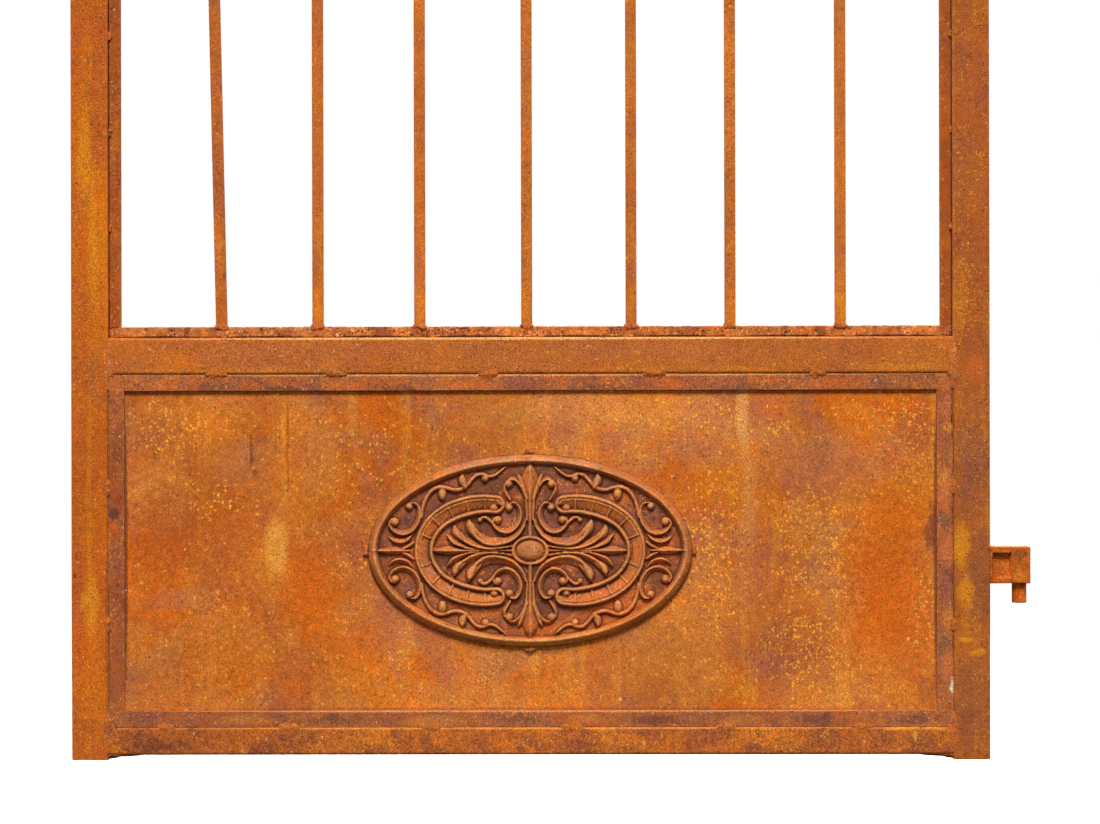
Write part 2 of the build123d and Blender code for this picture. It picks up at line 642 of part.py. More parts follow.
def all_nodes():
    """Every node's name with its solids."""
    nodes = {
        "left_stile": [latch_stile()],
        "right_stile": [stile(INNER_RIGHT)],
        "bottom_rail": [rail(BOTTOM_RAIL_LOW, BOTTOM_RAIL_HEIGHT)],
        "mid_rail": [rail(MID_RAIL_LOW, TUBE)],
        "top_rail": [rail(TOP_RAIL_LOW, TUBE)],
        "stile_end_caps": end_caps(),
        "panel_strip_top": [STRIP_TOP_FORM],
        "panel_strip_bottom": [STRIP_BOTTOM_FORM],
        "panel_strip_left": [STRIP_LEFT_FORM],
        "panel_strip_right": [STRIP_RIGHT_FORM],
        "panel_sheet": [panel_sheet()],
        "medallion": [medallion()],
        "grille_bottom_bar": [GRILLE_BOTTOM_FORM],
        "grille_top_bar": [GRILLE_TOP_FORM],
        "grille_side_bar_left": [GRILLE_SIDE_FORMS[0]],
        "grille_side_bar_right": [GRILLE_SIDE_FORMS[1]],
        "latch_rod": [latch_rod()],
        "latch_handle": [latch_handle()],
        "latch_stop_collar": [latch_stop_collar()],
        "latch_guide_lug": [latch_guide_lug()],
        "frame_corner_welds": frame_corner_welds(),
        "panel_strip_welds": panel_strip_welds(),
        "panel_sheet_welds": panel_sheet_welds(),
        "grille_bar_welds": grille_bar_welds(),
        "grille_tack_welds": grille_tack_welds(),
        "medallion_welds": medallion_welds(),
        "hinge_welds": hinge_welds(),
        "latch_welds": latch_welds(),
    }
    for index in range(len(BAR_ERRORS)):
        nodes[f"grille_bar_{index + 1}"] = [grille_bar(index)]
    for name, low in HINGE_LOWS.items():
        nodes[f"{name}_hinge_bracket"] = [hinge_bracket(low)]
    nodes["lower_hinge_block"] = [hinge_block()]
    nodes["lower_hinge_pin"] = [hinge_pin()]
    nodes["upper_hinge_block"] = [turned_over(hinge_block(), 0)]
    nodes["upper_hinge_pin"] = [turned_over(hinge_pin(), TOP_PIN_GAP)]
    return nodes


os.makedirs("parts", exist_ok=True)
for node, pieces in all_nodes().items():
    solids = [solid for piece in pieces for solid in piece.solids()]
    export_step(Compound(children=solids), f"parts/{node}.step")
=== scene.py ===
"""Looks of a rusted garden gate leaf.

The tubes, bars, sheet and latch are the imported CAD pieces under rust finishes. The cast medallion, the
welds, the rough bar at the grille's foot, and the brackets and blocks of the hinges are modelled here over
their CAD solids.
"""

import logging
import math
from dataclasses import astuple, dataclass
from enum import Enum
from random import Random

import bmesh
import bpy
import numpy as np
from mathutils import Matrix, Quaternion, Vector, noise


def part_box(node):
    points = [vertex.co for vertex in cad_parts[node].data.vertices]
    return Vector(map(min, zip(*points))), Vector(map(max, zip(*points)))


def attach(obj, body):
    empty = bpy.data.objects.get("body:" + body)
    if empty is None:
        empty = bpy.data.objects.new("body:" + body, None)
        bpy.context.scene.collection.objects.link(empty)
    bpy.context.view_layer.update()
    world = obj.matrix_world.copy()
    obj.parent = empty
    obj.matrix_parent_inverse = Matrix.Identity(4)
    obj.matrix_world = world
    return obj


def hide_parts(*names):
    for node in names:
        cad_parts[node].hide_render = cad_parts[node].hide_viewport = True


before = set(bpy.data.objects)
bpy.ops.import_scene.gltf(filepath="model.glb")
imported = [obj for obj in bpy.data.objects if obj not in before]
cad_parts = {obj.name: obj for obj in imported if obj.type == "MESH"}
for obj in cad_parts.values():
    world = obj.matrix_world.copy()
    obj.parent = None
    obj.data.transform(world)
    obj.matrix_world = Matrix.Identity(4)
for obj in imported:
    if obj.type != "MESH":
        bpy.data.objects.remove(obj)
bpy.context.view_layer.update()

LOG = logging.getLogger("gate")
MM = 0.001
LEAF_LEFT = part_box("left_stile")[0].x
LEAF_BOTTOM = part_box("left_stile")[0].z

Wire = bpy.types.NodeSocket
Shape = bmesh.types.BMesh
Material = bpy.types.Material


def on_leaf(place: Vector) -> tuple[float, float]:
    """Gives a place's distance from the leaf's left edge and bottom end, in millimetres."""
    return (place.x - LEAF_LEFT) / MM, (place.z - LEAF_BOTTOM) / MM


def long_axis(size: Vector) -> int:
    """Gives the axis along which a size is largest."""
    return max(range(3), key=lambda axis: size[axis])


def bumps(place: Vector) -> float:
    """Gives uneven noise, from about -1 to 1, at a place."""
    return noise.fractal(place, 1.0, 2.0, 3)


def soft_step(share: float) -> float:
    """Gives a smooth step from 0 to 1."""
    held = min(max(share, 0.0), 1.0)
    return held * held * (3 - 2 * held)


@dataclass(frozen=True)
class Tint:
    """Colour as it shows on a screen, each part from 0 to 255."""

    red: int
    green: int
    blue: int

    def linear(self) -> tuple[float, ...]:
        """Gives the colour as a shader socket takes it."""
        parts = [part / 255 for part in astuple(self)]
        return (*(p / 12.92 if p <= 0.04045 else ((p + 0.055) / 1.055) ** 2.4 for p in parts), 1.0)


class Run(Enum):
    """Way that rust water ran over a piece, as the stretch of its pattern along X, Y and Z."""

    DOWN = (1.0, 1.0, 0.07)
    ALONG = (0.07, 1.0, 1.0)
    NONE = (1.0, 1.0, 1.0)


class Spread(Enum):
    """How a stain lies: how far its outline strays, where its full strength starts, and how ragged it is."""

    WASH = (1.0, 0.15, 0.9)
    FLECKS = (0.8, 0.35, 0.6)
    PATCH = (0.5, 0.45, 1.6)
    RUN = (0.14, 0.4, 0.5)
    LINE = (0.03, 0.5, 0.35)


@dataclass(frozen=True)
class Stain:
    """Stain on the leaf, placed from the leaf's left edge and bottom end, in millimetres.

    A stain that stays on one face also has its place and its reach along Y.
    """

    across: float
    up: float
    reach_across: float
    reach_up: float
    tint: Tint
    strength: float
    spread: Spread
    deep: float = 0.0
    reach_deep: float = 1e6

    def centre(self) -> tuple[float, float, float]:
        """Gives the stain's middle in the gate's frame, in metres."""
        return (LEAF_LEFT + self.across * MM, self.deep * MM, LEAF_BOTTOM + self.up * MM)

    def reach(self) -> tuple[float, float, float]:
        """Gives how far the stain reaches each way, in metres."""
        return (self.reach_across * MM, self.reach_deep * MM, self.reach_up * MM)


Stains = tuple[Stain, ...]


def marks(spread: Spread, *rows: tuple[float, float, float, float, Tint, float]) -> Stains:
    """Makes stains that lie alike from rows of place, reach, colour and strength."""
    return tuple(Stain(*row, spread) for row in rows)


@dataclass(frozen=True)
class Specks:
    """Scattered specks: a chance number for each one, and how near its middle a place is."""

    lot: Wire
    near: Wire


@dataclass(frozen=True)
class Noise:
    """Soft noise: features per metre, number of finer layers, their weight, and how far it is pulled."""

    scale: float
    detail: float
    rough: float
    bend: float = 0.0


GRIT = Noise(820.0, 2.0, 0.5)
BLOT = Noise(130.0, 5.0, 0.62, 0.2)
DRIFT = Noise(4.0, 7.0, 0.66)
STREAK = Noise(46.0, 5.0, 0.6, 0.2)
CAST_SKIN = Noise(420.0, 4.0, 0.62)
CAST_GRIT = Noise(900.0, 2.0, 0.5)
CAST_PATCH = Noise(34.0, 6.0, 0.62, 0.5)
CAST_BLUSH = Noise(46.0, 6.0, 0.62, 0.5)
PAPER = Noise(40.0, 3.0, 0.58)

# Finer layers, their weight and the pull of the noise whose features per metre each finish sets.
ORANGE_LAYERS = (8.0, 0.62, 0.6)
MAUVE_LAYERS = (8.0, 0.62, 0.5)
CLUSTER_LAYERS = (6.0, 0.6, 0.4)

# Where each soft step in a finish is 0 and where it is 1.
ORANGE_STEP = (0.44, 0.60)
MAUVE_STEP = (0.46, 0.62)
CLUSTER_STEP = (0.40, 0.58)
LIGHT_RUN_STEP = (0.52, 0.70)
DARK_RUN_STEP = (0.48, 0.32)
WORN_AND_HIGHLIT_STEP = (0.38, 0.60)
EDGE_STEP = (0.84, 0.95)

# Features per metre and reach in metres of the noise that frays specks and stains.
FLECK_STRAY = (300.0, 0.008)
PIT_STRAY = (500.0, 0.003)
STAIN_STRAY = (34.0, 0.034)

# Steps from a piece's seed to the seeds of its patterns.
CLOUD_SEEDS = (0.0, 3.1, 7.7)
FLECK_SEED, PIT_SEED, RUN_SEED, STAIN_SEED = 9.1, 2.2, 5.3, 0.5


class PaintBench:
    """Lays out the shader nodes of one finish.

    A seed of 1 moves a pattern by seed_step. A tone swings with a pattern between the ends of swing_range.
    """

    seed_step: tuple[float, float, float] = (1.37, 0.71, 2.11)
    stray_detail: float = 5.0
    swing_range: tuple[float, float] = (0.28, 0.72)

    def __init__(self, name: str) -> None:
        """Starts an empty material.

        Args:
            name: The material's name.
        """
        self.material = bpy.data.materials.new(name)
        self.material.use_nodes = True
        self.tree = self.material.node_tree
        self.tree.nodes.clear()
        self.spot = self.add("ShaderNodeTexCoord").outputs["Object"]

    def add(self, kind: str, **settings: object) -> bpy.types.Node:
        """Adds a node.

        Args:
            kind: The node's type.
            settings: Values of the node's own properties.

        Returns:
            The node.
        """
        node = self.tree.nodes.new(kind)
        for key, value in settings.items():
            setattr(node, key, value)
        return node

    def feed(self, socket: Wire, value: object) -> None:
        """Links a wire to a socket, or sets the socket's own value.

        Args:
            socket: The socket to feed.
            value: A wire, a Tint, a number or a vector.
        """
        if isinstance(value, bpy.types.NodeSocket):
            self.tree.links.new(value, socket)
        elif isinstance(value, Tint):
            socket.default_value = value.linear()
        else:
            socket.default_value = value

    def shifted(self, seed: float, stretch: Run = Run.NONE) -> Wire:
        """Gives the piece's own coordinates, moved so that no two pieces share a pattern.

        Args:
            seed: A number that differs from piece to piece.
            stretch: The way the pattern is drawn out.

        Returns:
            The coordinates.
        """
        node = self.add("ShaderNodeMapping")
        self.feed(node.inputs["Vector"], self.spot)
        node.inputs["Location"].default_value = tuple(seed * step for step in self.seed_step)
        node.inputs["Scale"].default_value = stretch.value
        return node.outputs["Vector"]

    def cloud(self, where: Wire, kind: Noise) -> Wire:
        """Makes soft noise.

        Args:
            where: The coordinates.
            kind: The noise.

        Returns:
            The noise, from 0 to 1.
        """
        node = self.add("ShaderNodeTexNoise")
        self.feed(node.inputs["Vector"], where)
        for key, value in zip(("Scale", "Detail", "Roughness", "Distortion"), astuple(kind)):
            node.inputs[key].default_value = value
        return node.outputs["Fac"]

    def ranged(self, value: Wire, ends: tuple[float, float, float, float], **settings: object) -> Wire:
        """Maps a value from one range to another.

        Args:
            value: The value.
            ends: Both ends of its range, then both ends of the new one.
            settings: Values of the node's own properties.

        Returns:
            The value in the new range.
        """
        node = self.add("ShaderNodeMapRange", **settings)
        self.feed(node.inputs["Value"], value)
        for key, end in zip(("From Min", "From Max", "To Min", "To Max"), ends):
            node.inputs[key].default_value = end
        return node.outputs["Result"]

    def ease(self, value: Wire, none: float, full: float) -> Wire:
        """Turns a value into a soft step.

        Args:
            value: The value.
            none: Where the step is 0.
            full: Where it is 1.

        Returns:
            The step, from 0 to 1.
        """
        ends = (none, full, 0.0, 1.0) if none < full else (full, none, 1.0, 0.0)
        return self.ranged(value, ends, interpolation_type="SMOOTHSTEP")

    def sum_node(self, kind: str, operation: str, first: object, second: object) -> bpy.types.Node:
        """Adds a sum of numbers or vectors.

        Args:
            kind: The node's type.
            operation: The sum's name.
            first: A wire, a number or a vector.
            second: A wire, a number or a vector.

        Returns:
            The node.
        """
        node = self.add(kind, operation=operation)
        self.feed(node.inputs[0], first)
        self.feed(node.inputs[1], second)
        return node

    def maths(self, operation: str, first: object, second: object) -> Wire:
        """Adds a sum of two wires, or of a wire and a number."""
        return self.sum_node("ShaderNodeMath", operation, first, second).outputs[0]

    def times(self, first: object, second: object) -> Wire:
        """Multiplies two wires, or a wire and a number."""
        return self.maths("MULTIPLY", first, second)

    def vector(self, operation: str, first: object, second: object = (0.0, 0.0, 0.0)) -> Wire:
        """Adds a sum of two vectors, either of them a wire or fixed."""
        return self.sum_node("ShaderNodeVectorMath", operation, first, second).outputs[0]

    def length(self, vector: Wire) -> Wire:
        """Gives a vector's length."""
        return self.sum_node("ShaderNodeVectorMath", "LENGTH", vector, (0.0, 0.0, 0.0)).outputs["Value"]

    def over(self, under: object, tint: object, share: object, blend: str = "MIX") -> Wire:
        """Lays one colour over another.

        Args:
            under: The colour below.
            tint: The colour on top.
            share: How much of it covers, from 0 to 1.
            blend: How the colours mix.

        Returns:
            The mixed colour.
        """
        node = self.add("ShaderNodeMix", data_type="RGBA", blend_type=blend)
        for socket, value in zip((0, 6, 7), (share, under, tint)):
            self.feed(node.inputs[socket], value)
        return node.outputs[2]

    def coat(self, under: object, tint: Tint, pattern: Wire, share: float) -> Wire:
        """Lays a share of a colour over another one where a pattern is."""
        return self.over(under, tint, self.times(pattern, share))

    def varied(self, tone: Wire, pattern: Wire, swing: float) -> Wire:
        """Makes a tone lighter and darker along a pattern, by a swing of its brightness each way."""
        level = self.ranged(pattern, (*self.swing_range, 1 - swing, 1 + swing))
        return self.over(tone, level, 1.0, "MULTIPLY")

    def named(self, attribute: str) -> Wire:
        """Gives a number that the mesh carries at its points."""
        return self.add("ShaderNodeAttribute", attribute_name=attribute).outputs["Fac"]

    def strayed(self, seed: float, scale: float, reach: float) -> Wire:
        """Gives the piece's own coordinates pulled about by noise.

        Args:
            seed: The piece's seed.
            scale: Features of the noise per metre.
            reach: How far it pulls, in metres.

        Returns:
            The coordinates.
        """
        warp = self.add("ShaderNodeTexNoise")
        self.feed(warp.inputs["Vector"], self.shifted(seed))
        warp.inputs["Scale"].default_value = scale
        warp.inputs["Detail"].default_value = self.stray_detail
        middled = self.vector("SUBTRACT", warp.outputs["Color"], (0.5, 0.5, 0.5))
        pulled = self.vector("MULTIPLY", middled, (reach, reach, reach))
        return self.vector("ADD", self.spot, pulled)

    def specks(self, where: Wire, scale: float, size: float) -> Specks:
        """Scatters small specks.

        Args:
            where: The coordinates.
            scale: Specks per metre.
            size: Their radius, in shares of their spacing.

        Returns:
            The specks.
        """
        node = self.add("ShaderNodeTexVoronoi")
        self.feed(node.inputs["Vector"], where)
        node.inputs["Scale"].default_value = scale
        parts = self.add("ShaderNodeSeparateColor")
        self.feed(parts.inputs[0], node.outputs["Color"])
        return Specks(parts.outputs[0], self.ease(node.outputs["Distance"], size, size * 0.6))

    def some(self, specks: Specks, share: object) -> Wire:
        """Keeps a share of the specks, those with the lowest chance numbers."""
        return self.times(specks.near, self.maths("LESS_THAN", specks.lot, share))

    def rare(self, specks: Specks, share: float) -> Wire:
        """Keeps a share of the specks, those with the highest chance numbers."""
        return self.times(specks.near, self.maths("GREATER_THAN", specks.lot, 1 - share))

    def stained(self, tone: Wire, stains: Stains, specks: Specks, blot: Wire, seed: float) -> Wire:
        """Lays the listed stains over a tone.

        Args:
            tone: The colour below.
            stains: The stains, from the lowest to the topmost.
            specks: Specks that flecked stains are made of.
            blot: Noise that frays the stains' outlines.
            seed: The piece's seed.

        Returns:
            The stained colour.
        """
        if not stains:
            return tone
        scale, reach = STAIN_STRAY
        middled = self.maths("SUBTRACT", blot, 0.5)
        places, frays = {}, {}
        for stain in stains:
            stray, core, rag = stain.spread.value
            if stain.spread not in places:
                places[stain.spread] = self.strayed(seed + STAIN_SEED, scale, reach * stray)
                frays[stain.spread] = self.times(middled, rag)
            offset = self.vector("SUBTRACT", places[stain.spread], stain.centre())
            scaled = self.vector("DIVIDE", offset, stain.reach())
            far = self.length(scaled)
            frayed = self.maths("ADD", far, frays[stain.spread])
            share = self.times(self.ease(frayed, 1.0, core), stain.strength)
            if stain.spread is Spread.FLECKS:
                share = self.some(specks, share)
            tone = self.over(tone, stain.tint, share)
        return tone

    def finish(self, tone: Wire, rough: Wire, height: Wire, depth: float, specular: float) -> Material:
        """Ends the material in its shader.

        Args:
            tone: The surface colour.
            rough: The roughness.
            height: The small relief, from 0 to 1.
            depth: The relief's depth in metres.
            specular: The strength of the gloss.

        Returns:
            The material.
        """
        bump = self.add("ShaderNodeBump")
        bump.inputs["Strength"].default_value = 1.0
        bump.inputs["Distance"].default_value = depth
        self.feed(bump.inputs["Height"], height)
        shader = self.add("ShaderNodeBsdfPrincipled")
        shader.inputs["Specular IOR Level"].default_value = specular
        self.feed(shader.inputs["Base Color"], tone)
        self.feed(shader.inputs["Roughness"], rough)
        self.feed(shader.inputs["Normal"], bump.outputs["Normal"])
        output = self.add("ShaderNodeOutputMaterial")
        self.feed(output.inputs["Surface"], shader.outputs["BSDF"])
        return self.material


@dataclass(frozen=True)
class RustFinish:
    """Matt rust on steel, in clouds, runs, flecks and pits."""

    body: Tint
    orange: Tint
    mauve: Tint
    gold: Tint
    pale: Tint
    pit: Tint
    orange_share: float = 0.6
    mauve_share: float = 0.5
    gold_share: float = 0.75
    gold_lot: float = 0.7
    gold_wash: float = 0.12
    pale_lot: float = 0.03
    pit_share: float = 0.6
    pit_lot: float = 0.2
    run: Run = Run.NONE
    run_share: float = 0.0
    cloud: float = 7.0
    cluster: float = 13.0
    fleck: float = 300.0
    edge_wear_and_highlight_share: float = 0.35
    grain: float = 0.5
    mottle: float = 0.16
    drift: float = 0.15
    depth: float = 0.0004
    pale_share: float = 0.7
    mauve_finer: float = 1.5
    fleck_size: float = 0.44
    fleck_rise: float = 0.3
    grit_rise: float = 0.7
    pit_size: float = 0.42
    pit_finer: float = 1.25
    pit_everywhere: float = 0.35
    pit_depth: float = 0.6
    smoothest: float = 0.66
    rougher: float = 0.25
    gloss: float = 0.1

    def material(
        self, name: str, seed: float, node: str | None = None, stains: Stains = (), calm: Stains = ()
    ) -> Material:
        """Makes the finish for one piece.

        Args:
            name: The material's name.
            seed: The piece's seed.
            node: The CAD node whose long edges are lightened, partly as wear and partly as painted highlight,
                if any.
            stains: Stains placed under the flecks.
            calm: Stains placed over the flecks.

        Returns:
            The material.
        """
        bench = PaintBench(name)
        first, second, third = (bench.shifted(seed + step) for step in CLOUD_SEEDS)
        grit, blot, drift = bench.cloud(first, GRIT), bench.cloud(second, BLOT), bench.cloud(third, DRIFT)
        orange = bench.ease(bench.cloud(first, Noise(self.cloud, *ORANGE_LAYERS)), *ORANGE_STEP)
        finer = Noise(self.cloud * self.mauve_finer, *MAUVE_LAYERS)
        mauve = bench.ease(bench.cloud(third, finer), *MAUVE_STEP)
        cluster = bench.ease(bench.cloud(second, Noise(self.cluster, *CLUSTER_LAYERS)), *CLUSTER_STEP)
        specks = bench.specks(bench.strayed(seed + FLECK_SEED, *FLECK_STRAY), self.fleck, self.fleck_size)
        ragged = bench.strayed(seed + PIT_SEED, *PIT_STRAY)
        hollows = bench.specks(ragged, self.fleck * self.pit_finer, self.pit_size)
        golden = bench.some(specks, bench.times(cluster, self.gold_lot))
        pits = bench.some(hollows, bench.times(bench.maths("ADD", mauve, self.pit_everywhere), self.pit_lot))
        tone = bench.coat(self.body, self.orange, orange, self.orange_share)
        tone = bench.coat(tone, self.mauve, mauve, self.mauve_share)
        if self.run is not Run.NONE:
            streak = bench.cloud(bench.shifted(seed + RUN_SEED, self.run), STREAK)
            tone = bench.coat(tone, self.gold, bench.ease(streak, *LIGHT_RUN_STEP), self.run_share)
            tone = bench.coat(tone, self.mauve, bench.ease(streak, *DARK_RUN_STEP), self.run_share)
        tone = bench.stained(tone, stains, specks, blot, seed)
        tone = bench.coat(tone, self.gold, cluster, self.gold_wash)
        tone = bench.coat(tone, self.gold, golden, self.gold_share)
        tone = bench.stained(tone, calm, specks, blot, seed)
        # Rare pale specks: partly pale rust flecks, partly painted glints.
        tone = bench.coat(tone, self.pale, bench.rare(specks, self.pale_lot), self.pale_share)
        tone = bench.coat(tone, self.pit, pits, self.pit_share)
        for pattern, swing in ((grit, self.grain), (blot, self.mottle), (drift, self.drift)):
            tone = bench.varied(tone, pattern, swing)
        # Long edges are lightened with gold, partly as wear and partly as painted highlight.
        if node is not None:
            worn = bench.times(self.edges(bench, node), bench.ease(blot, *WORN_AND_HIGHLIT_STEP))
            tone = bench.coat(tone, self.gold, worn, self.edge_wear_and_highlight_share)
        height = bench.maths("ADD", bench.times(golden, self.fleck_rise), bench.times(grit, self.grit_rise))
        height = bench.maths("SUBTRACT", height, bench.times(pits, self.pit_depth))
        rough = bench.maths("ADD", bench.times(grit, self.rougher), self.smoothest)
        return bench.finish(tone, rough, height, self.depth, self.gloss)

    @staticmethod
    def edges(bench: PaintBench, node: str) -> Wire:
        """Finds the long edges of a square piece.

        Args:
            bench: The bench that the finish is laid out on.
            node: The CAD node.

        Returns:
            A step that is 1 along the edges.
        """
        low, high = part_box(node)
        half = (high - low) / 2
        offset = bench.vector("SUBTRACT", bench.spot, tuple((low + high) / 2))
        share = bench.vector("DIVIDE", offset, tuple(half))
        parts = bench.add("ShaderNodeSeparateXYZ")
        bench.feed(parts.inputs[0], bench.vector("ABSOLUTE", share))
        sides = [parts.outputs[axis] for axis in range(3) if axis != long_axis(half)]
        return bench.ease(bench.maths("MINIMUM", *sides), *EDGE_STEP)


@dataclass(frozen=True)
class CastFinish:
    """Brown rust on the casting: mauve in the hollows, orange and tan on what stands up. Its hollows are
    darkened, partly as dirt and partly as painted shade, and its crests and highest points are lightened,
    partly as wear and partly as painted highlight.
    """

    ground: Tint = Tint(120, 66, 40)
    body: Tint = Tint(183, 102, 47)
    crest: Tint = Tint(222, 158, 94)
    orange: Tint = Tint(204, 102, 30)
    mauve: Tint = Tint(150, 92, 74)
    gold: Tint = Tint(224, 158, 84)
    pit: Tint = Tint(84, 40, 24)
    orange_share: float = 0.5
    mauve_share: float = 0.55
    crest_highlight_share: float = 0.38
    hollow_shade_share: float = 0.72
    rim_highlight_share: float = 0.22
    pit_share: float = 0.45
    pit_lot: float = 0.2
    gold_share: float = 0.5
    gold_lot: float = 0.3
    fleck: float = 380.0
    fleck_size: float = 0.44
    raggedness: float = 0.5
    seed: float = 4.2
    blush_step: float = 4.6
    depth: float = 0.0006
    smoothest: float = 0.52
    rougher: float = 0.3
    gloss: float = 0.2

    def material(self, name: str, stains: Stains) -> Material:
        """Makes the finish for a mesh that carries its relief and its crests.

        Args:
            name: The material's name.
            stains: Stains given one by one.

        Returns:
            The material.
        """
        bench = PaintBench(name)
        where = bench.shifted(self.seed)
        fine, grit, patch = (bench.cloud(where, kind) for kind in (CAST_SKIN, CAST_GRIT, CAST_PATCH))
        blush = bench.cloud(bench.shifted(self.seed + self.blush_step), CAST_BLUSH)
        specks = bench.specks(bench.strayed(self.seed + STAIN_SEED, *PIT_STRAY), self.fleck, self.fleck_size)
        ragged = bench.times(bench.maths("SUBTRACT", fine, 0.5), self.raggedness)
        risen = bench.maths("ADD", bench.named("relief"), ragged)
        proud = bench.maths("ADD", bench.named("crest"), bench.times(ragged, 0.7))
        pits = bench.rare(specks, self.pit_lot)
        golden = bench.some(specks, bench.times(bench.ease(patch, 0.42, 0.6), self.gold_lot))
        tone = bench.over(self.ground, self.body, bench.ease(risen, 0.05, 0.6))
        tone = bench.coat(tone, self.orange, bench.ease(patch, 0.48, 0.64), self.orange_share)
        tone = bench.coat(tone, self.mauve, bench.ease(blush, 0.50, 0.64), self.mauve_share)
        tone = bench.stained(tone, stains, specks, fine, self.seed)
        # Tan on the crests is partly wear and partly painted highlight, dark in the hollows is partly dirt
        # and partly painted shade, and tan on the highest points, the rim most, is painted highlight.
        for tint, pattern, share in (
            (self.crest, bench.ease(proud, 0.1, 0.8), self.crest_highlight_share),
            (self.pit, bench.ease(proud, -0.05, -0.7), self.hollow_shade_share),
            (self.crest, bench.ease(risen, 0.9, 1.6), self.rim_highlight_share),
            (self.pit, pits, self.pit_share),
            (self.gold, golden, self.gold_share),
        ):
            tone = bench.coat(tone, tint, pattern, share)
        for pattern, swing in ((grit, 0.4), (fine, 0.2), (patch, 0.2)):
            tone = bench.varied(tone, pattern, swing)
        rough = bench.maths("ADD", bench.times(fine, self.rougher), self.smoothest)
        return bench.finish(tone, rough, bench.maths("SUBTRACT", fine, pits), self.depth, self.gloss)


STILE_LEFT = RustFinish(
    body=Tint(189, 93, 26), orange=Tint(196, 98, 14), mauve=Tint(166, 78, 40), gold=Tint(212, 126, 20),
    pale=Tint(222, 150, 50), pit=Tint(122, 60, 30), run=Run.DOWN, run_share=0.45, gold_lot=0.5,
    pit_lot=0.24, grain=0.6,
)
STILE_RIGHT = RustFinish(
    body=Tint(162, 84, 36), orange=Tint(180, 92, 26), mauve=Tint(144, 78, 48), gold=Tint(204, 124, 36),
    pale=Tint(212, 148, 70), pit=Tint(104, 54, 36), run=Run.DOWN, run_share=0.35, gold_lot=0.7,
    orange_share=0.5, pit_lot=0.34, pit_share=0.75, grain=0.6, mottle=0.2,
)
RAIL = RustFinish(
    body=Tint(177, 94, 39), orange=Tint(187, 95, 24), mauve=Tint(168, 92, 52), gold=Tint(206, 128, 44),
    pale=Tint(220, 160, 88), pit=Tint(104, 52, 28), pit_lot=0.3, pit_share=0.7, gold_lot=0.4, run=Run.ALONG,
    run_share=0.2, mottle=0.1, grain=0.6,
)
BOTTOM_RAIL = RustFinish(
    body=Tint(176, 94, 40), orange=Tint(196, 104, 26), mauve=Tint(142, 76, 46), gold=Tint(214, 134, 44),
    pale=Tint(224, 168, 104), pit=Tint(98, 48, 30), pit_lot=0.36, pit_share=0.75, gold_lot=0.8,
    mauve_share=0.8, cloud=20.0, mottle=0.28, grain=0.6,
)
STRIP = RustFinish(
    body=Tint(163, 90, 52), orange=Tint(182, 92, 34), mauve=Tint(142, 82, 62), gold=Tint(204, 128, 58),
    pale=Tint(216, 160, 104), pit=Tint(90, 50, 38), pit_lot=0.32, gold_lot=0.5, mauve_share=0.75,
    cloud=20.0, mottle=0.2, grain=0.6,
)
SHEET = RustFinish(
    body=Tint(190, 102, 42), orange=Tint(200, 96, 16), mauve=Tint(172, 96, 62), gold=Tint(228, 154, 52),
    pale=Tint(230, 172, 88), pit=Tint(130, 62, 32), orange_share=0.95, mauve_share=0.9, gold_lot=0.26,
    gold_wash=0.2, pale_lot=0.012, run=Run.DOWN, run_share=0.3, cloud=8.0, cluster=12.0, fleck=230.0,
    drift=0.28, grain=0.44,
)
BAR = RustFinish(
    body=Tint(180, 97, 41), orange=Tint(190, 99, 28), mauve=Tint(160, 86, 52), gold=Tint(204, 124, 40),
    pale=Tint(216, 148, 72), pit=Tint(124, 64, 36), gold_lot=0.3, run=Run.DOWN, run_share=0.3, cloud=16.0,
    edge_wear_and_highlight_share=0.2,
)
# Darker copy of BAR for the side bars: painted shade from the stiles beside them.
SHADED_SIDE_BAR = RustFinish(
    body=Tint(152, 75, 29), orange=Tint(168, 84, 24), mauve=Tint(138, 68, 36), gold=Tint(200, 124, 54),
    pale=Tint(214, 156, 98), pit=Tint(104, 54, 32), gold_lot=0.4, run=Run.DOWN, run_share=0.3, cloud=16.0,
)
GRILLE_FOOT = RustFinish(
    body=Tint(184, 107, 54), orange=Tint(198, 106, 38), mauve=Tint(140, 74, 46), gold=Tint(228, 154, 86),
    pale=Tint(236, 184, 126), pit=Tint(84, 42, 28), pit_lot=0.5, pit_share=0.85, gold_lot=1.0,
    mauve_share=0.7, cloud=30.0, cluster=40.0, fleck=230.0, mottle=0.4, depth=0.0009,
)
HINGE = RustFinish(
    body=Tint(178, 86, 28), orange=Tint(200, 98, 20), mauve=Tint(146, 74, 42), gold=Tint(216, 126, 40),
    pale=Tint(222, 156, 76), pit=Tint(110, 52, 26), cloud=40.0, mottle=0.25,
)
PIN = RustFinish(
    body=Tint(208, 96, 18), orange=Tint(214, 100, 12), mauve=Tint(172, 76, 22), gold=Tint(228, 130, 36),
    pale=Tint(226, 150, 60), pit=Tint(116, 46, 18), cloud=40.0, mottle=0.25,
)
LATCH = RustFinish(
    body=Tint(158, 84, 42), orange=Tint(178, 92, 34), mauve=Tint(128, 74, 54), gold=Tint(196, 124, 58),
    pale=Tint(206, 156, 110), pit=Tint(92, 52, 38), pit_lot=0.25, cloud=30.0, run=Run.ALONG, run_share=0.4,
)
WELD = RustFinish(
    body=Tint(182, 98, 46), orange=Tint(196, 100, 30), mauve=Tint(152, 84, 52), gold=Tint(214, 136, 58),
    pale=Tint(226, 166, 98), pit=Tint(104, 54, 34), pit_lot=0.25, mauve_share=0.6, cloud=60.0, mottle=0.25,
    depth=0.0007,
)


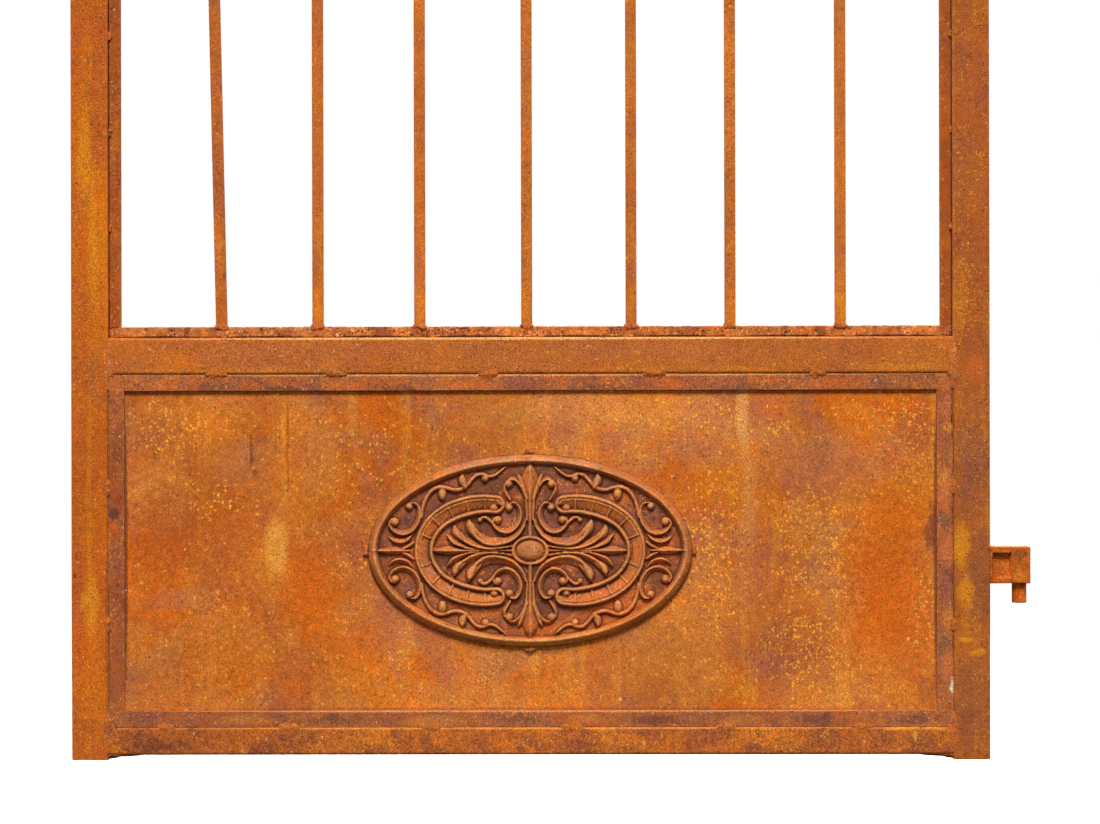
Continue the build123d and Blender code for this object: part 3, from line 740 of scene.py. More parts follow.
def dress(node: str, material: Material) -> None:
    """Gives a kept CAD piece its finish.

    Args:
        node: The CAD node.
        material: The finish.
    """
    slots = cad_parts[node].data.materials
    slots.clear()
    slots.append(material)
    LOG.info("dressed %s in %s", node, material.name)


def object_from(bm: Shape, name: str, material: Material) -> bpy.types.Object:
    """Makes a smooth object in the scene from a shape.

    Args:
        bm: The shape, which is freed.
        name: The object's name.
        material: Its finish.

    Returns:
        The object.
    """
    mesh = bpy.data.meshes.new(name)
    bm.to_mesh(mesh)
    bm.free()
    mesh.shade_smooth()
    mesh.materials.append(material)
    made = bpy.data.objects.new(name, mesh)
    bpy.context.scene.collection.objects.link(made)
    return made


def piece_from(bm: Shape, name: str, material: Material, nodes: tuple[str, ...]) -> None:
    """Makes a piece that rides on the leaf and stands for CAD nodes.

    Args:
        bm: The piece's shape, which is freed.
        name: The piece's name.
        material: Its finish.
        nodes: The CAD nodes that it stands for.
    """
    piece = object_from(bm, name, material)
    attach(piece, "leaf")
    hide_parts(*nodes)
    LOG.info("made %s with %d faces", name, len(piece.data.polygons))


def worn_bar(low: Vector, high: Vector, worn: float, wobble: float, lumpiness: float) -> Shape:
    """Makes a bar between two corners with worn edges and an uneven skin.

    Args:
        low: The lowest corner.
        high: The highest corner.
        worn: How far the edges are worn off.
        wobble: How uneven the skin is.
        lumpiness: Lumps per metre.

    Returns:
        The bar.
    """
    most_cuts, cut_length, skin_cuts, skin_edge, sharp = 500, 3 * MM, 5, 4 * MM, 1.0
    bm = bmesh.new()
    size = high - low
    matrix = Matrix.Translation((low + high) / 2) @ Matrix.Diagonal((*size, 1.0))
    bmesh.ops.create_cube(bm, size=1.0, matrix=matrix)
    axis = long_axis(size)
    along = [edge for edge in bm.edges if abs((edge.verts[1].co - edge.verts[0].co)[axis]) > 0.5 * size[axis]]
    cuts = min(most_cuts, int(size[axis] / cut_length))
    bmesh.ops.subdivide_edges(bm, edges=along, cuts=cuts, use_grid_fill=True)
    corners = [edge for edge in bm.edges if edge.calc_face_angle(0.0) > sharp]
    bmesh.ops.bevel(bm, geom=corners, offset=worn, affect="EDGES", segments=3, profile=0.5, material=-1)
    across = [edge for edge in bm.edges if edge.calc_length() > skin_edge]
    bmesh.ops.subdivide_edges(bm, edges=across, cuts=skin_cuts, use_grid_fill=True)
    bm.normal_update()
    for vert in bm.verts:
        vert.co += vert.normal * bumps(vert.co * lumpiness) * wobble
    return bm


def close_behind(bm: Shape, depth: float) -> None:
    """Gives an open relief straight sides and a flat back.

    Args:
        bm: The relief.
        depth: Where its back lies along Y.
    """
    border = [edge for edge in bm.edges if edge.is_boundary]
    skirt = bmesh.ops.extrude_edge_only(bm, edges=border)["geom"]
    for item in skirt:
        if isinstance(item, bmesh.types.BMVert):
            item.co.y = depth
    back = [item for item in skirt if isinstance(item, bmesh.types.BMEdge) and item.is_boundary]
    bmesh.ops.edgeloop_fill(bm, edges=back)
    bmesh.ops.recalc_face_normals(bm, faces=bm.faces)


def add_mesh(target: Shape, source: Shape) -> None:
    """Adds one mesh to another and frees it.

    Args:
        target: The mesh to add to.
        source: The mesh that is added.
    """
    made = bpy.data.meshes.new("joined_part")
    source.to_mesh(made)
    source.free()
    target.from_mesh(made)
    bpy.data.meshes.remove(made)


@dataclass
class TubeFrame:
    """Stiles, rails and the caps in the stiles' ends."""

    seed: float = 1.0

    def build(self) -> None:
        """Dresses the frame."""
        self.dress_stiles()
        self.dress_rails()

    def dress_stiles(self) -> None:
        """Dresses the stiles, the left one bright orange and the right one browner."""
        gold, mauve, slate = Tint(214, 134, 26), Tint(144, 80, 54), Tint(82, 60, 52)
        left = (
            Stain(20, 280, 4, 180, Tint(218, 140, 26), 0.3, Spread.RUN),
            *marks(
                Spread.PATCH,
                (14, 660, 9, 60, gold, 0.55), (24, 560, 6, 90, gold, 0.4), (22, 172, 10, 48, gold, 0.6),
            ),
            *marks(
                Spread.WASH,
                (26, 420, 14, 40, Tint(150, 82, 50), 0.55), (12, 110, 16, 60, Tint(202, 92, 14), 0.5),
            ),
            Stain(0, 360, 2.6, 420, slate, 0.75, Spread.FLECKS),
            Stain(38, 130, 1.6, 130, Tint(120, 60, 30), 0.5, Spread.LINE),
        )
        brown = Tint(146, 82, 50)
        right = (
            Stain(976, 510, 19, 82, Tint(218, 140, 42), 0.75, Spread.FLECKS),
            *marks(
                Spread.WASH,
                (968, 500, 10, 78, Tint(202, 120, 36), 0.5), (984, 700, 16, 70, Tint(172, 86, 34), 0.5),
                (982, 425, 20, 26, Tint(194, 96, 36), 0.6), (978, 325, 30, 92, mauve, 0.9),
                (986, 200, 18, 80, brown, 0.8), (978, 60, 30, 74, brown, 0.75),
            ),
            *marks(
                Spread.PATCH,
                (968, 232, 10, 34, Tint(212, 130, 26), 0.9), (973, 182, 13, 26, Tint(208, 126, 28), 0.85),
                (972, 130, 12, 4, gold, 0.8), (986, 116, 12, 4, gold, 0.8),
            ),
            Stain(980, 156, 16, 26, gold, 0.5, Spread.FLECKS),
        )
        dress("left_stile", STILE_LEFT.material("left_stile_rust", self.seed, "left_stile", left))
        dress("right_stile", STILE_RIGHT.material("right_stile_rust", self.seed + 1, "right_stile", right))
        dress("stile_end_caps", RAIL.material("end_cap_rust", self.seed + 5))

    def dress_rails(self) -> None:
        """Dresses the rails, with painted highlights along the top edges of the mid rail and the bottom rail.
        """
        light, gold = Tint(240, 172, 96), Tint(210, 126, 26)
        mid = (
            # Pale line along the mid rail's top edge: a painted highlight.
            Stain(500, 458.6, 470, 1.8, light, 0.75, Spread.LINE),
            *marks(
                Spread.PATCH,
                (170, 424, 120, 5, gold, 0.35), (735, 424, 60, 5, gold, 0.4), (900, 426, 60, 7, gold, 0.4),
            ),
            *marks(
                Spread.WASH,
                (120, 436, 26, 12, Tint(206, 110, 20), 0.6), (300, 446, 110, 12, Tint(172, 94, 54), 0.5),
                (620, 446, 150, 12, Tint(176, 100, 58), 0.5),
            ),
        )
        bottom = (
            # Pale line along the bottom rail's top edge: a painted highlight.
            Stain(500, 35, 470, 1.8, Tint(222, 140, 60), 0.6, Spread.LINE),
            Stain(915, 33, 45, 4, Tint(226, 148, 40), 0.7, Spread.PATCH),
            Stain(918, 25, 3, 8, Tint(226, 148, 40), 0.7, Spread.RUN),
            Stain(95, 16, 52, 9, Tint(134, 70, 44), 0.7, Spread.PATCH),
            Stain(330, 20, 60, 12, Tint(206, 112, 30), 0.5, Spread.WASH),
            Stain(560, 14, 80, 9, Tint(146, 74, 40), 0.55, Spread.PATCH),
            Stain(760, 22, 70, 12, Tint(204, 112, 32), 0.5, Spread.WASH),
        )
        dress("mid_rail", RAIL.material("mid_rail_rust", self.seed + 2, "mid_rail", mid))
        dress("top_rail", RAIL.material("top_rail_rust", self.seed + 3, "top_rail"))
        dress("bottom_rail", BOTTOM_RAIL.material("bottom_rail_rust", self.seed + 4, "bottom_rail", bottom))


@dataclass
class Panel:
    """Sheet and the strips round it, with how deep the lines on the sheet's front reach in millimetres."""

    seed: float = 11.0
    line_depth: float = 1.2

    def build(self) -> None:
        """Dresses the panel."""
        self.dress_sheet()
        for index, (side, stains) in enumerate(self.strip_stains().items()):
            node = f"panel_strip_{side}"
            dress(node, STRIP.material(f"{node}_rust", self.seed + 1 + index, node, stains))

    @staticmethod
    def patches(
        up: float, reach_up: float, tint: Tint, strength: float, *spots: tuple[float, float]
    ) -> Stains:
        """Makes a row of patches along a level strip from each one's place and reach across."""
        rows = ((across, up, reach, reach_up, tint, strength) for across, reach in spots)
        return marks(Spread.PATCH, *rows)

    def strip_stains(self) -> dict[str, Stains]:
        """Gives the stains of each strip: slate patches, painted highlights along the top edges of the top
        and bottom strips, and dark joints.

        Returns:
            The stains by the strip's side.
        """
        slate, light, dark = Tint(92, 60, 52), Tint(226, 156, 96), Tint(104, 54, 32)
        orange, gold = Tint(196, 98, 40), Tint(206, 126, 54)
        salmon, grey, gilt = Tint(202, 110, 58), Tint(118, 86, 64), Tint(206, 130, 50)
        top = (
            # Pale line along the top strip's top edge: a painted highlight.
            Stain(500, 418.6, 470, 1.4, light, 0.7, Spread.LINE),
            *self.patches(
                404, 5, slate, 0.55, (156, 28), (232, 28), (361, 22), (582, 46), (742, 40), (906, 14)
            ),
            *self.patches(
                408, 5, orange, 0.6, (100, 26), (196, 14), (300, 30), (440, 40), (660, 24), (840, 36)
            ),
        )
        bottom = (
            # Pale line along the bottom strip's top edge: a painted highlight.
            Stain(500, 53, 470, 1.6, light, 0.75, Spread.LINE),
            *self.patches(44, 7, slate, 0.6, (287, 28), (490, 22), (637, 38), (811, 28), (915, 34)),
            *self.patches(43, 7, gold, 0.5, (190, 40), (390, 40), (560, 26), (730, 30)),
        )
        left = (
            *marks(Spread.LINE, (41, 330, 1.6, 90, dark, 0.7), (41, 130, 1.6, 90, dark, 0.6)),
            Stain(50, 230, 12, 200, Tint(162, 68, 24), 0.65, Spread.WASH),
            *marks(
                Spread.PATCH,
                (49, 344, 9, 44, Tint(140, 68, 42), 0.6), (47, 268, 8, 9, slate, 0.85),
                (49, 252, 7, 9, orange, 0.8), (51, 218, 9, 22, Tint(132, 72, 58), 0.7),
                (52, 160, 9, 36, Tint(150, 70, 38), 0.5),
            ),
        )
        spots = (
            (952, 386, 16, Tint(184, 104, 64)), (955, 363, 8, gilt), (952, 338, 18, Tint(148, 90, 62)),
            (952, 306, 12, gilt), (952, 284, 18, salmon), (949, 259, 16, grey), (954, 224, 22, salmon),
            (950, 188, 26, Tint(138, 78, 60)), (956, 152, 16, gilt), (948, 128, 15, grey),
            (953, 101, 20, salmon),
        )
        right = (
            *marks(Spread.LINE, (959, 376, 2.2, 34, Tint(66, 38, 28), 0.9), (959, 200, 1.5, 150, dark, 0.6)),
            *(Stain(across, up, 10, reach, tint, 0.62, Spread.PATCH) for across, up, reach, tint in spots),
            Stain(959, 77, 4, 12, Tint(240, 226, 202), 0.85, Spread.PATCH),
        )
        return {"top": top, "bottom": bottom, "left": left, "right": right}

    def dress_sheet(self) -> None:
        """Dresses the sheet with its clouds, runs, flecks and the dark lines in its corners by the strips,
        partly dirt and partly painted shade.
        """
        gold, orange = Tint(230, 156, 54), Tint(203, 92, 10)
        mauve, dark, shade = Tint(180, 102, 66), Tint(142, 70, 38), Tint(112, 56, 30)
        front = (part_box("panel_sheet")[0].y / MM, self.line_depth)
        stains = (
            *marks(
                Spread.WASH,
                (210, 230, 190, 190, Tint(176, 80, 14), 0.6), (250, 110, 110, 50, Tint(198, 100, 28), 0.55),
                (226, 200, 30, 40, Tint(210, 120, 34), 0.5), (105, 240, 60, 70, Tint(178, 82, 26), 0.6),
                (110, 175, 50, 20, mauve, 0.5), (262, 330, 40, 50, Tint(186, 106, 60), 0.45),
                (300, 300, 24, 60, orange, 0.5), (660, 372, 70, 36, Tint(206, 130, 60), 0.45),
                (915, 350, 34, 45, Tint(166, 88, 54), 0.6), (868, 88, 16, 12, Tint(150, 80, 56), 0.6),
                (655, 142, 12, 12, Tint(150, 78, 50), 0.55), (626, 66, 16, 8, Tint(150, 78, 50), 0.5),
                (560, 378, 220, 26, Tint(204, 124, 62), 0.55), (500, 72, 130, 24, Tint(198, 112, 42), 0.55),
                (420, 120, 60, 40, Tint(206, 118, 40), 0.4),
            ),
            Stain(505, 112, 8, 40, Tint(216, 140, 50), 0.5, Spread.RUN),
            *marks(
                Spread.FLECKS,
                (108, 358, 66, 42, gold, 0.62), (150, 285, 66, 32, gold, 0.45), (297, 208, 30, 30, gold, 0.7),
                (340, 335, 110, 66, gold, 0.35), (170, 110, 80, 50, gold, 0.4), (700, 372, 46, 36, gold, 0.6),
                (706, 235, 54, 120, gold, 0.75), (813, 235, 70, 95, gold, 0.8),
                (800, 122, 62, 70, gold, 0.75), (906, 368, 56, 48, Tint(220, 144, 62), 0.65),
                (922, 310, 38, 46, Tint(228, 142, 30), 0.85),
            ),
        )
        calm = (
            *marks(
                Spread.WASH,
                (886, 184, 68, 138, Tint(200, 94, 18), 0.9), (700, 333, 46, 24, Tint(186, 108, 62), 0.7),
                (822, 322, 110, 42, Tint(186, 106, 62), 0.75), (737, 215, 22, 84, Tint(190, 108, 60), 0.6),
                (262, 185, 52, 82, Tint(198, 92, 14), 0.85), (155, 112, 96, 56, Tint(186, 98, 30), 0.55),
                (165, 215, 52, 66, Tint(172, 84, 36), 0.6), (105, 272, 52, 36, Tint(180, 96, 44), 0.5),
                (190, 322, 58, 48, Tint(192, 112, 62), 0.55),
            ),
            Stain(223, 232, 17, 46, Tint(214, 142, 56), 0.85, Spread.RUN),
            Stain(732, 402, 8, 100, Tint(218, 152, 84), 0.62, Spread.PATCH),
            *marks(
                Spread.RUN,
                (738, 290, 12, 80, Tint(204, 132, 70), 0.45), (760, 220, 5, 60, Tint(182, 100, 60), 0.6),
            ),
            *marks(
                Spread.FLECKS,
                (766, 360, 24, 16, Tint(228, 158, 48), 0.8), (930, 160, 22, 66, gold, 0.75),
            ),
            *marks(
                Spread.RUN,
                (788, 134, 4, 4, Tint(232, 156, 50), 0.9), (188, 334, 9, 24, Tint(200, 120, 72), 0.65),
                (236, 345, 2.4, 70, Tint(182, 76, 18), 0.75), (196, 336, 2.8, 26, dark, 0.75),
                (200, 313, 4.4, 5, dark, 0.75),
            ),
            Stain(937, 252, 9, 32, Tint(118, 60, 46), 0.7, Spread.PATCH),
            Stain(929, 72, 22, 34, Tint(158, 80, 40), 0.6, Spread.WASH),
            # Dark lines on the sheet along the left, right and bottom strips: partly dirt, partly painted
            # shade.
            Stain(59, 230, 2.6, 180, shade, 0.8, Spread.LINE, *front),
            Stain(941, 230, 2.6, 180, shade, 0.75, Spread.LINE, *front),
            Stain(500, 55, 470, 2.4, Tint(150, 80, 40), 0.6, Spread.LINE, *front),
        )
        dress("panel_sheet", SHEET.material("panel_sheet_rust", self.seed, None, stains, calm))


@dataclass
class Grille:
    """Square bars between the mid rail and the top rail.

    The bottom bar's wear is in metres. The painted shade of the gap under it has its half height in
    millimetres and its half length in shares of the bars' spacing.
    """

    seed: float = 21.0
    bars: int = 7
    worn: float = 0.0012
    wobble: float = 0.0005
    lumpiness: float = 130.0
    gap: float = 3.2
    gap_share: float = 0.6
    gap_shade_tint: Tint = Tint(84, 40, 20)
    gap_shade_strength: float = 0.95

    def build(self) -> None:
        """Models the bottom bar and dresses the grille."""
        foot = worn_bar(*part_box("grille_bottom_bar"), self.worn, self.wobble, self.lumpiness)
        # The dark lines under the bottom bar are painted shade of the gap between it and the mid rail.
        finish = GRILLE_FOOT.material("grille_bottom_rust", self.seed, "grille_bottom_bar", (), self.gap_shades())
        piece_from(foot, "grille_foot", finish, ("grille_bottom_bar",))
        dress("grille_top_bar", BAR.material("grille_top_rust", self.seed + 1, "grille_top_bar"))
        left, *uprights, right = self.nodes()
        for index, node in enumerate((left, right, *uprights), 1):
            # The side bars take the darker finish that paints the stiles' shade on them.
            rust, stains = (BAR, self.foot_stains(node)) if node in uprights else (SHADED_SIDE_BAR, ())
            dress(node, rust.material(f"{node}_rust", self.seed + 2 * index, node, stains))

    def nodes(self) -> tuple[str, ...]:
        """Gives the side bars and upright bars from left to right."""
        uprights = (f"grille_bar_{index}" for index in range(1, self.bars + 1))
        return ("grille_side_bar_left", *uprights, "grille_side_bar_right")

    @staticmethod
    def foot_stains(node: str) -> Stains:
        """Gives the stains over the foot of an upright bar.

        Args:
            node: The bar.

        Returns:
            The stains.
        """
        low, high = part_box(node)
        across, foot = on_leaf((low + high) / 2)[0], on_leaf(low)[1]
        return marks(
            Spread.WASH,
            (across, foot + 24, 9, 30, Tint(212, 124, 24), 0.6),
            (across + 3, foot + 90, 6, 50, Tint(206, 122, 36), 0.4),
            (across - 3, foot + 70, 5, 40, Tint(168, 90, 58), 0.5),
        )

    def gap_shades(self) -> Stains:
        """Gives the painted shade of the gap under the bottom bar, which the tacks near the bars bridge.

        Returns:
            The stains, one between each two bars.
        """
        boxes = [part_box(node) for node in self.nodes()]
        places = [on_leaf((low + high) / 2)[0] for low, high in boxes]
        up = on_leaf(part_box("grille_bottom_bar")[0])[1]
        look = (self.gap, self.gap_shade_tint, self.gap_shade_strength)
        spans = zip(places, places[1:])
        rows = (((start + end) / 2, up, (end - start) * self.gap_share, *look) for start, end in spans)
        return marks(Spread.LINE, *rows)


class Moulding(Enum):
    """Section of a stroke of the ornament."""

    ROUND = 1
    RIDGE = 2
    HOLLOW = 3

    def section(self, place: np.ndarray) -> np.ndarray:
        """Works out the height across a stroke.

        Args:
            place: Place across the stroke, from -1 at its right edge to 1 at its left edge.

        Returns:
            The height there, from 0 to 1.
        """
        if self is Moulding.ROUND:
            return np.clip(1 - place ** 2, 0, 1) ** 0.6
        if self is Moulding.RIDGE:
            return np.where(np.abs(place) < 1, 0.2 + 0.8 * np.clip(1 - np.abs(place), 0, 1) ** 0.85, 0)
        crest = -0.5
        outside = np.clip(1 - ((crest - place) / (1 + crest)) ** 2, 0, 1) ** 0.55
        inside = 0.22 + 0.78 * np.clip(1 - (place - crest) / (1 - crest), 0, 1) ** 1.5
        return np.where(place < crest, outside, np.where(place < 1, inside, 0))


Line = tuple[tuple[float, float, float], ...]


def smooth_line(points: Line, steps: int = 7, thinnest: float = 0.3) -> np.ndarray:
    """Draws a smooth line through points that each have a half breadth.

    Args:
        points: The points, in millimetres.
        steps: Number of pieces between two points.
        thinnest: The least half breadth.

    Returns:
        The line's points, each with a half breadth.
    """
    places = np.array(points, float)
    padded = np.vstack((2 * places[0] - places[1], places, 2 * places[-1] - places[-2]))
    line = []
    for index in range(1, len(padded) - 2):
        a, b, c, d = padded[index - 1:index + 3]
        bend, twist = 2 * a - 5 * b + 4 * c - d, 3 * b - a - 3 * c + d
        for t in np.linspace(0, 1, steps, endpoint=False):
            line.append(0.5 * (2 * b + (c - a) * t + bend * t ** 2 + twist * t ** 3))
    line.append(places[-1])
    made = np.array(line)
    made[:, 2] = np.maximum(made[:, 2], thinnest)
    return made


def nearest(line: np.ndarray, x: np.ndarray, y: np.ndarray) -> tuple[np.ndarray, np.ndarray, np.ndarray]:
    """Finds the nearest place on a line.

    Args:
        line: The line's points, each with a half breadth.
        x: Places along the long axis.
        y: Places along the short axis.

    Returns:
        The signed distance to the line, its half breadth and the way along it at the nearest place.
    """
    best = np.full(x.shape, 1e6)
    signed, breadth, travel = np.full(x.shape, 1e6), np.ones(x.shape), np.zeros(x.shape)
    gone = 0.0
    for start, end in zip(line[:-1], line[1:]):
        run = end[:2] - start[:2]
        length = max(float(np.hypot(*run)), 1e-6)
        share = np.clip(((x - start[0]) * run[0] + (y - start[1]) * run[1]) / length ** 2, 0, 1)
        away_x, away_y = x - start[0] - share * run[0], y - start[1] - share * run[1]
        distance = np.hypot(away_x, away_y)
        closer = distance < best
        side = np.where(run[0] * away_y - run[1] * away_x >= 0, 1.0, -1.0)
        best = np.where(closer, distance, best)
        signed = np.where(closer, side * distance, signed)
        breadth = np.where(closer, start[2] + share * (end[2] - start[2]), breadth)
        travel = np.where(closer, gone + share * length, travel)
        gone += length
    return signed, breadth, travel


def bead(place: np.ndarray, middle: float, half: float) -> np.ndarray:
    """Gives the height, from 0 to 1, across a rounded bead with a middle and a half breadth."""
    return np.clip(1 - ((place - middle) / half) ** 2, 0, 1) ** 0.6


def dome(far: np.ndarray) -> np.ndarray:
    """Gives a dome's height, from 0 to 1, by the distance from its middle in shares of its radius."""
    return np.sqrt(np.clip(1 - far ** 2, 0, 1))


@dataclass(frozen=True)
class Stroke:
    """Raised stroke of the ornament in the upper right quarter of the oval.

    Each point holds its place across and up from the oval's middle and the stroke's half breadth, in
    millimetres. The stroke keeps a share of its rise where it is thin, and has all of it from a share of its
    greatest breadth on.
    """

    points: Line
    rise: float
    moulding: Moulding = Moulding.ROUND
    thin_rise: float = 0.3
    full_breadth: float = 0.6

    def height(self, x: np.ndarray, y: np.ndarray) -> np.ndarray:
        """Works out the stroke's height over the ground.

        Args:
            x: Places along the long axis.
            y: Places along the short axis.

        Returns:
            Its height, 0 where it isn't.
        """
        line = smooth_line(self.points)
        widest = line[:, 2].max()
        reach = widest + 1
        near = np.ones(x.shape, bool)
        for axis, places in enumerate((x, y)):
            near &= (places > line[:, axis].min() - reach) & (places < line[:, axis].max() + reach)
        signed, breadth, _ = nearest(line, x[near], y[near])
        taper = self.thin_rise + (1 - self.thin_rise) * np.clip(breadth / (self.full_breadth * widest), 0, 1)
        rise = np.zeros(x.shape)
        rise[near] = self.rise * self.moulding.section(signed / breadth) * taper
        return rise


@dataclass(frozen=True)
class Bud:
    """Round or oval knob of the ornament, with its place, its two radii and its rise in millimetres."""

    across: float
    up: float
    radius: float
    tall: float
    rise: float

    def height(self, x: np.ndarray, y: np.ndarray) -> np.ndarray:
        """Works out the knob's height over the ground at places along both axes."""
        return self.rise * dome(np.hypot((x - self.across) / self.radius, (y - self.up) / self.tall))


@dataclass(frozen=True)
class Strap:
    """Strap of the ornament, with a row of sloping pillows between two raised borders.

    Its points are like a stroke's. Each border, and the line inside the outer one, has its rise in
    millimetres, then its middle and its half breadth in shares of the strap's. Pillows and the ribs between
    them are in millimetres. Ribs and floor reach across in shares of the strap's half breadth, and the first
    rib and the inset line start along it in pillows.
    """

    points: Line = (
        (37, 50, 10.2), (50, 50.6, 10.6), (66, 48.6, 11.2), (85, 42.4, 11.2), (101, 32, 10.8),
        (111, 18.6, 10.6), (115, 7.5, 10.4), (115.6, 0, 10.4),
    )
    borders: Line = ((6.6, -0.78, 0.22), (7.0, 0.79, 0.21))
    inset: tuple[float, float, float] = (6.2, 0.45, 0.1)
    first_joint: float = 12.0
    pillow: float = 19.2
    pillow_low: float = 0.2
    pillow_slope: float = 5.0
    slope_start: float = -0.56
    rib_rise: float = 2.0
    rib_half: float = 1.5
    rib_across: float = 0.6
    first_rib: float = -0.5
    floor_across: float = 0.9
    inset_start: float = -0.7

    def height(self, x: np.ndarray, y: np.ndarray) -> np.ndarray:
        """Works out the strap's height over the ground.

        Args:
            x: Places along the long axis.
            y: Places along the short axis.

        Returns:
            Its height, 0 where it isn't.
        """
        signed, breadth, travel = nearest(smooth_line(self.points), x, y)
        place = signed / breadth
        beads = (*self.borders, self.inset)
        inner, outer, inset = (rise * bead(place, middle, half) for rise, middle, half in beads)
        joints = (travel - self.first_joint) / self.pillow
        slope = self.pillow_low + self.pillow_slope * np.clip(place - self.slope_start, 0, 1)
        ribs = (slope + self.rib_rise) * bead((joints - np.rint(joints)) * self.pillow, 0.0, self.rib_half)
        ribs = np.where((np.abs(place) < self.rib_across) & (joints > self.first_rib), ribs, 0)
        floor = np.where(np.abs(place) < self.floor_across, slope, 0)
        inset = np.where(joints > self.inset_start, inset, 0)
        return np.maximum.reduce((inner, outer, inset, ribs, floor))


@dataclass(frozen=True)
class Boss:
    """Boss in the middle of the ornament and the ring round it, in millimetres.

    The middle and the half breadth of the ring's bead are in shares of its radii.
    """

    ring_across: float = 20.5
    ring_up: float = 16.0
    ring_rise: float = 4.6
    ring_middle: float = 0.9
    ring_half: float = 0.11
    floor: float = 2.0
    across: float = 14.6
    up: float = 10.4
    foot: float = 2.4
    rise: float = 3.8

    def height(self, x: np.ndarray, y: np.ndarray) -> np.ndarray:
        """Works out the height of the boss and its ring over the ground.

        Args:
            x: Places along the long axis.
            y: Places along the short axis.

        Returns:
            Their height, 0 where they aren't.
        """
        around = np.hypot(x / self.ring_across, y / self.ring_up)
        ring = self.ring_rise * dome((around - self.ring_middle) / self.ring_half)
        floor = np.where(around < self.ring_middle, self.floor, 0.0)
        far = np.hypot(x / self.across, y / self.up)
        knob = np.where(far < 1, self.foot + self.rise * dome(far), 0)
        return np.maximum.reduce((ring, floor, knob))


